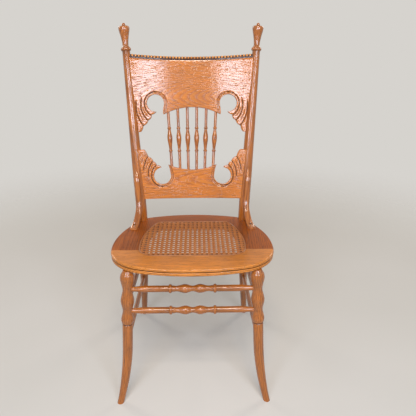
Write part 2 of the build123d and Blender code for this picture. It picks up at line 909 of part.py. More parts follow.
# Seat frame
def seat_outline(inset=0.0):
    """The seat seen from above: where four large discs overlap, with rounded corners."""
    with BuildSketch() as face:
        with Locations((0, seat_front_y + seat_front_radius)):
            Circle(seat_front_radius - inset)
        with Locations((0, seat_back_y - seat_back_radius)):
            Circle(seat_back_radius - inset, mode=Mode.INTERSECT)
        for side, turn in ((1, 180), (-1, 0)):
            disc_x = side * (seat_half_width - seat_side_radius)
            with Locations(Location((disc_x, seat_widest_y), turn)):
                Circle(seat_side_radius - inset, mode=Mode.INTERSECT)
        fillet(face.vertices().sort_by(Axis.Y)[-2:], seat_back_round - inset)
        fillet(face.vertices().sort_by(Axis.Y)[:2], seat_corner_radius - inset)
    return face.sketch


def cane_outline():
    """The middle of the groove that holds the cane."""
    with BuildSketch() as face:
        with BuildLine():
            Line((-cane_front_x, cane_front_y), (cane_front_x, cane_front_y))
            ThreePointArc((cane_front_x, cane_front_y), cane_widest, (cane_back_x, cane_back_y))
            Line((cane_back_x, cane_back_y), (-cane_back_x, cane_back_y))
            ThreePointArc(
                (-cane_back_x, cane_back_y),
                (-cane_widest[0], cane_widest[1]),
                (-cane_front_x, cane_front_y),
            )
        make_face()
        fillet(face.vertices().sort_by(Axis.Y)[:2], cane_front_round)
        fillet(face.vertices().sort_by(Axis.Y)[-2:], cane_back_round)
    return face.sketch


cane_shape = cane_outline()
groove_floor = seat_top - groove_depth
rebate_floor = seat_top - rebate_depth
cove_bottom = seat_bottom + bead_height
cove_top = cove_bottom + cove_height
opening_inset = groove_width / 2 + rebate_width

with BuildPart() as lower_bead:
    with BuildSketch(Plane.XY.offset(seat_bottom)):
        add(seat_outline(bead_inset))
    extrude(amount=bead_height)
    fillet(lower_bead.edges().filter_by(Axis.Z, reverse=True), bead_round)

with BuildPart() as upper_edge:
    with BuildSketch(Plane.XY.offset(cove_top)):
        add(seat_outline())
    extrude(amount=seat_top - cove_top)
    fillet(upper_edge.edges().group_by(Axis.Z)[-1], edge_round)
    fillet(upper_edge.edges().group_by(Axis.Z)[0], edge_round / 2)

with BuildPart() as seat_blank:
    add(lower_bead.part)
    add(upper_edge.part)
    with BuildSketch(Plane.XY.offset(cove_bottom)):
        add(seat_outline(cove_inset))
    extrude(amount=cove_height)
    with BuildSketch(Plane.XY.offset(seat_bottom)):
        add(cane_shape)
        offset(amount=-opening_inset)
    extrude(amount=seat_thickness, mode=Mode.SUBTRACT)
    with BuildSketch(Plane.XY.offset(rebate_floor)):
        add(cane_shape)
    extrude(amount=rebate_depth, mode=Mode.SUBTRACT)
    with BuildSketch(Plane.XY.offset(groove_floor)):
        add(cane_shape)
        offset(amount=groove_width / 2)
        with BuildSketch(mode=Mode.PRIVATE) as inside_groove:
            add(cane_shape)
            offset(amount=-groove_width / 2)
        add(inside_groove.sketch, mode=Mode.SUBTRACT)
    extrude(amount=groove_depth, mode=Mode.SUBTRACT)
    add(post_tool, mode=Mode.SUBTRACT)
    add(post_tool_left, mode=Mode.SUBTRACT)
    for tool in (bolt_tool.part, screw_tool.part):
        add(tool, mode=Mode.SUBTRACT)
        add(mirror(tool, about=Plane.YZ), mode=Mode.SUBTRACT)

# Dowels in the joints of the seat frame, right side
joint_way = Vector(back_joint_slope, 1, 0).normalized()
joint_across = Vector(joint_way.Y, -joint_way.X, 0)
cane_corner = Vector(cane_back_x, cane_back_y, rail_dowel_z)
frame_pins = []
for pin_x in front_dowel_x:
    frame_pins.append((Vector(pin_x, rail_joint_y, rail_dowel_z), Vector(0, 1, 0)))
for along in back_dowel_run:
    frame_pins.append((cane_corner + joint_way * along, joint_across))

with BuildPart() as seat_dowels_right:
    for centre, way in frame_pins:
        add(rod(centre - way * dowel_half_length, centre + way * dowel_half_length, dowel_radius))

with BuildPart() as seat_dowels:
    add(seat_dowels_right.part)
    mirror(seat_dowels_right.part, about=Plane.YZ)

with BuildPart() as dowel_tool_right:
    for centre, way in frame_pins:
        reach = dowel_half_length + end_gap
        add(rod(centre - way * reach, centre + way * reach, dowel_radius + fit_gap))

with BuildPart() as seat_sockets:
    add(dowel_tool_right.part)
    mirror(dowel_tool_right.part, about=Plane.YZ)
    leg_socket_end = front_leg_point(seat_bottom + leg_tenon_length + end_gap)
    leg_socket = rod(
        front_leg_point(seat_bottom - floor_overrun), leg_socket_end, leg_tenon_radius + leg_tenon_gap
    )
    add(leg_socket)
    add(mirror(leg_socket, about=Plane.YZ))

room = 2 * seat_half_width
back_low_y = cane_back_y - cut_reach
back_high_y = seat_back_y + floor_overrun


def joint_x(y):
    return cane_back_x + (y - cane_back_y) * back_joint_slope


with BuildPart() as back_region:
    with BuildSketch(Plane.XY.offset(seat_bottom)):
        with BuildLine():
            Polyline(
                (-joint_x(back_low_y), back_low_y),
                (joint_x(back_low_y), back_low_y),
                (joint_x(back_high_y), back_high_y),
                (-joint_x(back_high_y), back_high_y),
                close=True,
            )
        make_face()
    extrude(amount=seat_thickness)

with BuildPart() as seat_front_rail:
    add(seat_blank.part)
    with BuildSketch(Plane.XY.offset(seat_bottom)):
        with Locations((0, rail_joint_y)):
            Rectangle(room, room, align=(Align.CENTER, Align.MAX))
    extrude(amount=seat_thickness, mode=Mode.INTERSECT)
    add(seat_sockets.part, mode=Mode.SUBTRACT)

with BuildPart() as seat_back_rail:
    add(seat_blank.part)
    add(back_region.part, mode=Mode.INTERSECT)
    add(seat_sockets.part, mode=Mode.SUBTRACT)

with BuildPart() as seat_side_rail_right:
    add(seat_blank.part)
    with BuildSketch(Plane.XY.offset(seat_bottom)):
        with Locations((0, rail_joint_y)):
            Rectangle(room, room, align=(Align.MIN, Align.MIN))
    extrude(amount=seat_thickness, mode=Mode.INTERSECT)
    add(back_region.part, mode=Mode.SUBTRACT)
    add(seat_sockets.part, mode=Mode.SUBTRACT)

with BuildPart() as seat_side_rail_left:
    mirror(seat_side_rail_right.part, about=Plane.YZ)

# Cane panel: one holed sheet lying in the rebate, and the reed in the groove
with BuildSketch() as gap_area:
    add(cane_shape)
    offset(amount=-opening_inset - cane_edge - cane_hole_radius)
cane_middle_y = (cane_front_y + cane_back_y) / 2
cane_gaps = []
for row in range(cane_rows):
    for column in range(cane_columns):
        gap_x = (column - (cane_columns - 1) / 2) * cane_pitch
        gap_y = cane_middle_y + (row - (cane_rows - 1) / 2) * cane_pitch
        if gap_area.sketch.face().is_inside((gap_x, gap_y, 0)):
            cane_gaps.append((gap_x, gap_y))

with BuildPart() as cane_panel:
    with BuildSketch(Plane.XY.offset(rebate_floor)):
        add(cane_shape)
        offset(amount=-groove_width / 2 - fit_gap)
    extrude(amount=cane_thickness)
    with BuildSketch(Plane.XY.offset(rebate_floor)):
        with Locations(*cane_gaps):
            Circle(cane_hole_radius)
    extrude(amount=cane_thickness, mode=Mode.SUBTRACT)

with BuildPart() as cane_spline:
    with BuildSketch(Plane.XY.offset(groove_floor)):
        add(cane_shape)
        offset(amount=groove_width / 2 - fit_gap)
        with BuildSketch(mode=Mode.PRIVATE) as reed_inside:
            add(cane_shape)
            offset(amount=-groove_width / 2 + fit_gap)
        add(reed_inside.sketch, mode=Mode.SUBTRACT)
    extrude(amount=groove_depth + reed_rise)
    fillet(cane_spline.edges().group_by(Axis.Z)[-1], reed_round)

# Front legs
with BuildPart() as front_leg_right:
    leg_start = front_leg_point(leg_sweep_z)
    leg_way = (leg_start - front_leg_point(seat_bottom)).normalized()
    leg_end = Vector(leg_floor[0], leg_floor[1], -floor_overrun / 2)
    with BuildLine() as sweep_path:
        TangentArc(leg_start, leg_end, tangent=leg_way)
    with BuildSketch(sweep_path.line ^ 0):
        Circle(leg_shaft_radius)
    with BuildSketch(sweep_path.line ^ 0.5):
        Circle(leg_mid_radius)
    with BuildSketch(sweep_path.line ^ 1):
        Circle(leg_foot_radius)
    sweep(path=sweep_path.line, multisection=True)
    with BuildSketch(axis_plane(leg_start, leg_way * -1.0)):
        with BuildLine():
            rise = 1 / -leg_way.Z
            Polyline(
                (leg_groove_radius, (leg_groove_z - leg_sweep_z) * rise),
                (leg_shaft_radius, (leg_groove_z - leg_groove_half - leg_sweep_z) * rise),
                (leg_shaft_radius, 0),
                (0, 0),
                (0, (seat_bottom + floor_overrun - leg_sweep_z) * rise),
                (leg_top_radius, (seat_bottom + floor_overrun - leg_sweep_z) * rise),
                (leg_top_radius, (seat_bottom - leg_sweep_z) * rise),
            )
            Line(
                (leg_groove_radius, (leg_groove_z - leg_sweep_z) * rise),
                (leg_shoulder_radius, (leg_shoulder_z - leg_sweep_z) * rise),
            )
            Spline(
                (leg_shoulder_radius, (leg_shoulder_z - leg_sweep_z) * rise),
                (leg_bulb_radius[2], (leg_bulb_z[2] - leg_sweep_z) * rise),
                (leg_neck_radius, (leg_neck_z[1] - leg_sweep_z) * rise),
                (leg_bulb_radius[1], (leg_bulb_z[1] - leg_sweep_z) * rise),
                (leg_neck_radius, (leg_neck_z[0] - leg_sweep_z) * rise),
                (leg_bulb_radius[0], (leg_bulb_z[0] - leg_sweep_z) * rise),
                (leg_top_radius, (seat_bottom - leg_sweep_z) * rise),
            )
        make_face()
    revolve(axis=Axis(leg_start, leg_way))
    with BuildSketch(Plane.XY.offset(seat_bottom)):
        with Locations(leg_top):
            Circle(socket_reach)
    extrude(amount=socket_reach, mode=Mode.SUBTRACT)
    add(
        rod(
            front_leg_point(seat_bottom - floor_overrun),
            front_leg_point(seat_bottom + leg_tenon_length),
            leg_tenon_radius,
        )
    )
    with BuildSketch(Plane.XY):
        with Locations(leg_floor):
            Circle(socket_reach)
    extrude(amount=-socket_reach, mode=Mode.SUBTRACT)
    for end in front_ends:
        add(
            rod(
                toward(end, mirrored(end), socket_reach),
                toward(end, mirrored(end), -tenon_past_centre - end_gap),
                front_tenon_radius + fit_gap,
            ),
            mode=Mode.SUBTRACT,
        )
    for front, rear in side_ends:
        add(
            rod(
                toward(front, rear, socket_reach),
                toward(front, rear, -tenon_past_centre - end_gap),
                stretcher_tenon_radius + fit_gap,
            ),
            mode=Mode.SUBTRACT,
        )

with BuildPart() as front_leg_left:
    mirror(front_leg_right.part, about=Plane.YZ)

# Front stretchers, turned: half of each, then its mirror image
front_stretchers = []
for end in front_ends:
    tenon_end = end.X + tenon_past_centre
    shoulder = end.X - leg_neck_radius
    with BuildPart() as stretcher:
        middle = Vector(0, end.Y, end.Z)
        with BuildSketch(Plane(middle, x_dir=(1, 0, 0), z_dir=(0, -1, 0))):
            with BuildLine():
                Polyline(
                    (stretcher_bead_x + stretcher_bead_half, stretcher_radius),
                    (shoulder - stretcher_taper_length, stretcher_radius),
                    (shoulder, front_tenon_radius),
                    (tenon_end, front_tenon_radius),
                    (tenon_end, 0),
                    (0, 0),
                    (0, stretcher_waist_radius),
                )
                Spline(
                    (0, stretcher_waist_radius),
                    (stretcher_bulb_x, stretcher_bead_radius),
                    (stretcher_waist_x, stretcher_waist_radius),
                    (stretcher_bead_x - stretcher_bead_half, stretcher_radius),
                    tangents=((1, 0), (1, 0.6)),
                )
                ThreePointArc(
                    (stretcher_bead_x - stretcher_bead_half, stretcher_radius),
                    (stretcher_bead_x, stretcher_bead_radius),
                    (stretcher_bead_x + stretcher_bead_half, stretcher_radius),
                )
            make_face()
        revolve(axis=Axis(middle, (1, 0, 0)))
        mirror(about=Plane.YZ)
    front_stretchers.append(stretcher)


def plain_stretcher(start, end, start_clear, end_clear):
    """A slightly barrelled round whose tenons run past the centres of two legs."""
    way = (end - start).normalized()
    run = (end - start).length
    with BuildPart() as bar:
        with BuildSketch(axis_plane(start, way)):
            with BuildLine():
                Polyline(
                    (stretcher_tenon_radius, start_clear),
                    (stretcher_tenon_radius, -tenon_past_centre),
                    (0, -tenon_past_centre),
                    (0, run + tenon_past_centre),
                    (stretcher_tenon_radius, run + tenon_past_centre),
                    (stretcher_tenon_radius, run - end_clear),
                )
                ThreePointArc(
                    (stretcher_tenon_radius, start_clear),
                    (side_stretcher_radius, run / 2),
                    (stretcher_tenon_radius, run - end_clear),
                )
            make_face()
        revolve(axis=Axis(start, way))
    return bar


side_stretchers = [
    plain_stretcher(front, rear, leg_bulb_radius[0], post_radius) for front, rear in side_ends
]
back_stretcher = plain_stretcher(mirrored(back_end), back_end, post_radius, post_radius)

# Labels and export
nodes = {
    "back_post_right": back_post_right_done,
    "back_post_left": back_post_left_done,
    "hip_brace_right": hip_brace_right,
    "hip_brace_left": hip_brace_left,
    "crest_rail": crest_rail,
    "crest_bead_moulding": crest_bead_moulding,
    "lower_splat": lower_splat,
    "seat_front_rail": seat_front_rail,
    "seat_side_rail_right": seat_side_rail_right,
    "seat_side_rail_left": seat_side_rail_left,
    "seat_back_rail": seat_back_rail,
    "cane_panel": cane_panel,
    "cane_spline": cane_spline,
    "front_leg_right": front_leg_right,
    "front_leg_left": front_leg_left,
    "front_stretcher_upper": front_stretchers[0],
    "front_stretcher_lower": front_stretchers[1],
    "back_stretcher": back_stretcher,
    "seat_dowels": seat_dowels,
    "back_dowels": back_dowels,
    "brace_dowels": brace_dowels,
    "brace_screws": brace_screws,
    "post_bolts": post_bolts,
}
for index, spindle in enumerate(spindles):
    nodes[f"spindle_{index + 1}"] = spindle
for level, bar in zip(("upper", "lower"), side_stretchers):
    nodes[f"side_stretcher_{level}_right"] = bar
    with BuildPart() as left_bar:
        mirror(bar.part, about=Plane.YZ)
    nodes[f"side_stretcher_{level}_left"] = left_bar

for name, node in nodes.items():
    node.part.label = name
    export_step(node.part, f"parts/{name}.step")
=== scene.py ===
# %% [markdown]
# # A golden oak side chair, dressed for the eye
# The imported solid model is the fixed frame: it says where every piece of the chair is. This
# notebook leaves that frame alone and lays finer surfaces over it, one kind of piece at a time:
# turned bars, carved boards, a moulded seat frame and woven cane. All lengths of the chair are in
# millimetres, as on a maker's drawing, and are turned to metres once, when a mesh is made.

# %% Load the frame
from math import cos, radians, sin, sqrt, tan

import bmesh
import bpy
import numpy as np
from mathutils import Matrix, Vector
from mathutils.geometry import delaunay_2d_cdt


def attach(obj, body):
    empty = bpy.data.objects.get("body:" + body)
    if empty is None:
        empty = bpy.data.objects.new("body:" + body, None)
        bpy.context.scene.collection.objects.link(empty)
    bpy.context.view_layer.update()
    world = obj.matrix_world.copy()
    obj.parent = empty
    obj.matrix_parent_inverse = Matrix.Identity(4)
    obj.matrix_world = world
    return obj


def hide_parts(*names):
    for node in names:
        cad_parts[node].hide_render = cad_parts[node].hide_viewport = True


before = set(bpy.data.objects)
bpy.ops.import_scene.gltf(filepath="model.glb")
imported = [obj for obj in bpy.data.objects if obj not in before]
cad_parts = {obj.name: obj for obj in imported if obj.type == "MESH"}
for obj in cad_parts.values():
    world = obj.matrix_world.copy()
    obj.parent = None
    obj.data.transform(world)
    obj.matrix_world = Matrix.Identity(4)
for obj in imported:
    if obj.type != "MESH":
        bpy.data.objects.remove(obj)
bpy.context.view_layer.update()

# %% [markdown]
# ## Small tools for making meshes
# A surface here is an array of points, usually a grid: rows run along a piece and columns run
# round it. Four neighbours make one face. Blender takes such arrays whole, with foreach_set,
# which is far quicker than adding points one by one. Each mesh also stores two notes for its
# material: `grain`, the place of each point in the straight timber that the piece was cut from,
# and how dark it is painted: dark varnish in creases, and painted shade in creases, recesses
# and between parts.

# %% Faces between points
def grid_faces(rows, columns, wrap_rows=False, wrap_columns=False):
    """Corner numbers of the four-sided faces between neighbouring rows and columns of points."""
    row, column = np.meshgrid(
        np.arange(rows if wrap_rows else rows - 1),
        np.arange(columns if wrap_columns else columns - 1),
        indexing="ij",
    )
    row, column = row.ravel(), column.ravel()
    below, right = (row + 1) % rows, (column + 1) % columns
    corners = (row * columns + column, row * columns + right)
    return np.stack(corners + (below * columns + right, below * columns + column), 1)


def fan_faces(ring, tip):
    """Triangles from each side of a closed ring of points to one tip."""
    return np.stack([ring, np.roll(ring, -1), np.full(len(ring), tip)], 1)


def end_faces(rows, columns):
    """Two many-sided faces that close a tube: its first and its last row of points."""
    numbers = np.arange(columns)
    return np.array([numbers, numbers + (rows - 1) * columns])


print("faces between 3 rows of 4 points:", len(grid_faces(3, 4)))

# %% From arrays to an object
MM = 0.001


def add_piece(name, points, faces, material, node_names, grain=None, stain_and_shade=None,
              crease=38.0):
    """Turns points in millimetres and lists of faces into a smooth, outward-facing object."""
    mesh = bpy.data.meshes.new(name)
    corners = np.concatenate([block.ravel() for block in faces]).astype(np.int32)
    sizes = np.concatenate([np.full(len(block), block.shape[1]) for block in faces])
    starts = np.concatenate([[0], np.cumsum(sizes)[:-1]]).astype(np.int32)
    mesh.vertices.add(len(points))
    mesh.vertices.foreach_set("co", (np.asarray(points) * MM).astype(np.float32).ravel())
    mesh.loops.add(len(corners))
    mesh.loops.foreach_set("vertex_index", corners)
    mesh.polygons.add(len(starts))
    mesh.polygons.foreach_set("loop_start", starts)
    mesh.update(calc_edges=True)
    shell = bmesh.new()
    shell.from_mesh(mesh)
    bmesh.ops.recalc_face_normals(shell, faces=shell.faces)
    shell.to_mesh(mesh)
    shell.free()
    mesh.polygons.foreach_set("use_smooth", np.ones(len(starts), dtype=bool))
    mesh.set_sharp_from_angle(angle=radians(crease))
    if grain is not None:
        notes = mesh.attributes.new("grain", "FLOAT_VECTOR", "POINT")
        notes.data.foreach_set("vector", (np.asarray(grain) * MM).astype(np.float32).ravel())
    # How dark each point is painted: dark varnish, and painted shade in creases and recesses
    notes = mesh.attributes.new("stain_and_shade", "FLOAT", "POINT")
    depth = np.zeros(len(points)) if stain_and_shade is None else np.clip(stain_and_shade, 0.0, 1.0)
    notes.data.foreach_set("value", depth.astype(np.float32))
    mesh.materials.append(material)
    piece = bpy.data.objects.new(name, mesh)
    bpy.context.scene.collection.objects.link(piece)
    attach(piece, "root")
    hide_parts(*node_names)


print("one millimetre is", MM, "m")


# %% Smooth lines
def unit(vectors):
    """Vectors cut or stretched to length one."""
    vectors = np.asarray(vectors, dtype=float)
    return vectors / np.linalg.norm(vectors, axis=-1, keepdims=True)


def distance_along(points):
    """Distance of each point from the first one, measured along the row."""
    return np.concatenate([[0], np.cumsum(np.linalg.norm(np.diff(points, axis=0), axis=1))])


def ease(places, knots):
    """A smooth line through (place, size) knots, level at every high and low point.

    Between knots it is a cubic whose slope at a knot is the harmonic mean of the slopes on
    either side, or zero where they differ in sign.
    """
    x, y = np.array(knots, dtype=float).T
    gap = np.diff(x)
    slope = np.diff(y) / gap
    before, after = slope[:-1], slope[1:]
    same = before * after > 0
    safe_before, safe_after = np.where(same, before, 1.0), np.where(same, after, 1.0)
    middle = np.where(same, 2.0 / (1.0 / safe_before + 1.0 / safe_after), 0.0)
    slopes = np.concatenate([[0.0], middle, [0.0]])
    index = np.clip(np.searchsorted(x, places, side="right") - 1, 0, len(gap) - 1)
    t = (places - x[index]) / gap[index]
    rest = 1.0 - t
    ends = y[index] * rest ** 2 * (1 + 2 * t) + y[index + 1] * t ** 2 * (3 - 2 * t)
    turns = slopes[index] * gap[index] * t * rest ** 2 - slopes[index + 1] * gap[index] * t ** 2 * rest
    return ends + turns


def smooth_step(low, high, value):
    """0 below low, 1 above high, and an even S-curve between them."""
    t = np.clip((value - low) / (high - low), 0.0, 1.0)
    return t * t * (3 - 2 * t)


print("a quarter of the way up an S-curve:", smooth_step(0.0, 1.0, 0.25))

# %% [markdown]
# ## Varnished golden oak
# Golden oak is flat-sawn red oak, stained amber and varnished. Three things make it read as oak:
# growth rings, which a saw cuts into stripes and pointed arches; open pores, short dark dashes
# along the grain; and a clear coat that carries the highlights. A picture of wood could be wrapped
# round each piece, but it would stretch on turned work, so the wood is solid here: the colour is
# worked out from `grain`, the point's place in the timber, and rings stay rings wherever the
# lathe cuts through them. The dark early wood of each ring fades into golden late wood.

# %% Material tools
def linear(code):
    """An sRGB hex colour as linear red, green, blue and alpha."""
    srgb = np.array([int(code[place:place + 2], 16) for place in (0, 2, 4)]) / 255
    return (*np.where(srgb <= 0.04045, srgb / 12.92, ((srgb + 0.055) / 1.055) ** 2.4), 1.0)


def fill_inputs(tree, node, inputs):
    """Links each input of a node to a socket, or sets it to a value."""
    for key, value in inputs.items():
        if isinstance(value, bpy.types.NodeSocket):
            tree.links.new(value, node.inputs[key])
        else:
            node.inputs[key].default_value = value


def add_node(tree, kind, settings=None, inputs=None, stops=()):
    """Adds one node with its own properties and inputs; stops are a ramp's places and hex colours."""
    node = tree.nodes.new(kind)
    for key, value in (settings or {}).items():
        setattr(node, key, value)
    fill_inputs(tree, node, inputs or {})
    if stops:
        ramp = node.color_ramp.elements
        while len(ramp) < len(stops):
            ramp.new(1.0)
        for stop, (place, code) in zip(ramp, stops):
            stop.position, stop.color = place, linear(code)
    return node


print("mid grey in linear light:", round(float(linear("808080")[0]), 3))


# %% New materials and their scales
def new_material(name):
    """An empty node material and its tree, with the shader and the output already in place."""
    material = bpy.data.materials.new(name)
    material.use_nodes = True
    return material, material.node_tree, material.node_tree.nodes["Principled BSDF"]


def scale_of(*sizes_mm):
    """The texture scale at which one patch has these sizes in millimetres."""
    return tuple(1.0 / (size * MM) for size in sizes_mm)


print("a patch of 5 mm has the scale", round(scale_of(5)[0]))

# %% Growth rings
WAVE_TURNS = 20.0 / (2 * np.pi)   # rings per metre in a wave texture of scale 1


def growth_rings(tree, grain, ring_mm, pith_mm, tilt_degrees):
    """Place within a growth ring, from 0 to 1, counted by the distance from the pith.

    The pith is a line that lies pith_mm away and leans by tilt_degrees from the grain. Noise bends
    the rings: by 14 mm over patches of 100 mm, and by 1.6 mm over much finer ones.
    """
    bent = grain
    for patch_mm, sway in (((100, 100, 500), 0.014), ((5, 5, 50), 0.0016)):
        place = add_node(tree, "ShaderNodeMapping", None, {"Vector": grain, "Scale": scale_of(*patch_mm)})
        noise = add_node(tree, "ShaderNodeTexNoise", None,
                         {"Vector": place.outputs[0], "Scale": 1.0, "Detail": 3.0, "Roughness": 0.55})
        bent = add_node(tree, "ShaderNodeVectorMath", {"operation": "MULTIPLY_ADD"},
                        {0: noise.outputs["Color"], 1: (sway, sway, 0.0), 2: bent}).outputs[0]
    from_pith = add_node(
        tree, "ShaderNodeMapping", None,
        {"Vector": bent, "Location": tuple(value * MM for value in pith_mm) + (0.0,),
         "Rotation": (radians(tilt_degrees), 0.0, 0.0)},
    )
    return add_node(
        tree, "ShaderNodeTexWave",
        {"wave_type": "RINGS", "rings_direction": "Z", "wave_profile": "SAW"},
        {"Vector": from_pith.outputs[0], "Scale": 1.0 / (ring_mm * MM * WAVE_TURNS)},
    ).outputs["Fac"]


print("a wave texture of scale 1 has", round(WAVE_TURNS, 2), "rings per metre")


# %% Pores, streaks and clouds
def grain_noise(tree, grain):
    """Noise in three sizes; pores and streaks are stretched along the grain.

    Pores are dashes 0.3 mm wide, drawn 1.1 mm wide so that they show in a small picture. Streaks
    are 3 mm wide, and clouds 70 mm.
    """
    noises = []
    for patch_mm, detail in (((1.1, 1.1, 22), 1.0), ((3, 3, 90), 3.0), ((70, 70, 70), 2.0)):
        place = add_node(tree, "ShaderNodeMapping", None, {"Vector": grain, "Scale": scale_of(*patch_mm)})
        noise = add_node(tree, "ShaderNodeTexNoise", None,
                         {"Vector": place.outputs[0], "Scale": 1.0, "Detail": detail})
        noises.append(noise.outputs["Fac"])
    return noises


def wood_tone(tree, rings, pores, streaks, clouds):
    """How light the wood is: the product of open pores, streaks and clouds.

    A pore opens where its noise is above a level, and that level is lower in early wood.
    """
    early = add_node(tree, "ShaderNodeMapRange", None,
                     {"Value": rings, "From Min": 0.1, "From Max": 0.6, "To Min": 0.50, "To Max": 0.62})
    tone = add_node(tree, "ShaderNodeMapRange", None,
                    {"Value": pores, "From Min": early.outputs[0], "From Max": 0.70,
                     "To Min": 1.0, "To Max": 0.42})
    spans = ((streaks, (0.36, 0.66), (0.80, 1.12)), (clouds, (0.3, 0.7), (0.90, 1.08)))
    for noise, (low, high), (dark, light) in spans:
        share = add_node(tree, "ShaderNodeMapRange", None,
                         {"Value": noise, "From Min": low, "From Max": high,
                          "To Min": dark, "To Max": light})
        tone = add_node(tree, "ShaderNodeMath", {"operation": "MULTIPLY"},
                        {0: share.outputs[0], 1: tone.outputs[0]})
    return tone.outputs[0]


print("one pore is drawn at scale", round(scale_of(1.1)[0]))

# %% Oak under varnish
CREASE_VARNISH_AND_SHADE = "43200e"            # old varnish in the creases, and painted shade there
PORE_DENT = 0.5


def golden_oak(name, tones, ring_mm, pith_mm, tilt_degrees, varnish):
    """Oak with tones for early, middle and late wood; varnish is how much of the clear coat is left.

    The eye gets warm stripes, dark dashes that also dent the surface a little, and a clear highlight.
    """
    material, tree, shader = new_material(name)
    grain = add_node(tree, "ShaderNodeAttribute", {"attribute_name": "grain"}).outputs["Vector"]
    # How dark a point is painted: dark varnish, and painted shade in creases and recesses
    stain_and_shade = add_node(tree, "ShaderNodeAttribute", {"attribute_name": "stain_and_shade"}).outputs["Fac"]
    rings = growth_rings(tree, grain, ring_mm, pith_mm, tilt_degrees)
    pores, streaks, clouds = grain_noise(tree, grain)
    tone = wood_tone(tree, rings, pores, streaks, clouds)
    early, middle, late = tones
    wood = add_node(tree, "ShaderNodeValToRGB", None, {"Fac": rings},
                    ((0.0, middle), (0.08, early), (0.42, middle), (0.85, late), (1.0, middle)))
    toned = add_node(tree, "ShaderNodeVectorMath", {"operation": "SCALE"},
                     {0: wood.outputs["Color"], "Scale": tone})
    # Old varnish and painted shade: the crease tone mixed in by that amount
    stained_and_shaded = add_node(tree, "ShaderNodeMix", {"data_type": "RGBA"},
                       {"Factor": stain_and_shade, 6: toned.outputs[0], 7: linear(CREASE_VARNISH_AND_SHADE)})
    rough = add_node(tree, "ShaderNodeMapRange", None,
                     {"Value": streaks, "From Min": 0.3, "From Max": 0.7, "To Min": 0.36, "To Max": 0.48})
    bump = add_node(tree, "ShaderNodeBump", None,
                    {"Height": tone, "Strength": 0.6, "Distance": PORE_DENT * MM})
    fill_inputs(tree, shader, {
        "Base Color": stained_and_shaded.outputs[2], "Roughness": rough.outputs[0],
        "Normal": bump.outputs[0], "Coat Normal": bump.outputs[0],
        "IOR": 1.5, "Specular IOR Level": 0.12,
        "Coat Weight": varnish, "Coat Roughness": 0.12, "Coat IOR": 1.62,
    })
    return material


print("pores look dented by up to", PORE_DENT, "mm")

# %% Six oaks
# Tones, ring width, offset of the pith, its tilt in degrees, and varnish
crest_oak = golden_oak("golden_oak_crest", ("ae5914", "c9711a", "d37f28"), 4.6, (18, 45), 10.5, 0.9)
splat_oak = golden_oak("golden_oak_splat", ("ba6418", "d0761c", "d88026"), 3.4, (18, 45), 4.0, 0.9)
turned_oak = golden_oak("golden_oak_turned", ("985018", "b0631e", "ba6d26"), 4.4, (24, 30), 1.2, 1.0)
# The front rail's lighter oak is painted light, and the side and back rails' darker oak is painted shade
lit_front_rail_oak = golden_oak(
    "golden_oak_front_rail_painted_light", ("b4681f", "d68335", "e09040"), 4.4, (30, 55), 1.5, 0.45)
shaded_side_rail_oak = golden_oak(
    "golden_oak_side_rail_painted_shade", ("8f4812", "a25216", "aa5a1c"), 4.4, (26, 48), 1.5, 0.15)
# The pearls' paler oak is a painted highlight
pearl_oak = golden_oak("golden_oak_pearls_painted_highlight", ("d07c34", "f0a052", "f8ac5e"), 3.6, (24, 30), 1.2, 0.4)
print("oak materials:", [item.name for item in bpy.data.materials if item.name.startswith("golden_oak_")])

# %% [markdown]
# ## Turned pieces
# Posts, legs, stretchers and spindles come off a lathe: every cut across them is a circle. They
# could be spun from a drawn profile with a Screw modifier, but the posts and front legs are steamed
# and bent after turning, and a spun shape stays straight. So one function makes them all: it walks
# along a path, draws a circle square to the path at each step and joins neighbouring circles. The
# timber's grain follows the path. A turner thinks of a profile as a row of beads and long curves,
# and two small functions below say just that.

# %% Creases of a profile
CREASE_REACH = 3.5      # dark varnish and painted shade gather where the radius dips below that of its neighbours
# Dip that darkens fully in a hollow and in a corner, and the most that a corner gets
HOLLOW_DIP, CORNER_DIP, CORNER_MOST = 2.0, 5.0, 0.5


def crease_stain_and_shade(places, radii):
    """Dark varnish and painted shade where a profile dips: strong in a hollow, weaker in an inner corner.
    """
    beside = [np.interp(places + step, places, radii) for step in (-CREASE_REACH, CREASE_REACH)]
    hollow = np.clip((np.minimum(*beside) - radii) / HOLLOW_DIP, 0, 1)
    return hollow + np.clip((np.mean(beside, 0) - radii) / CORNER_DIP, 0, CORNER_MOST)


print("creases are looked for within", CREASE_REACH, "mm")

# %% The turning function
AROUND = 44


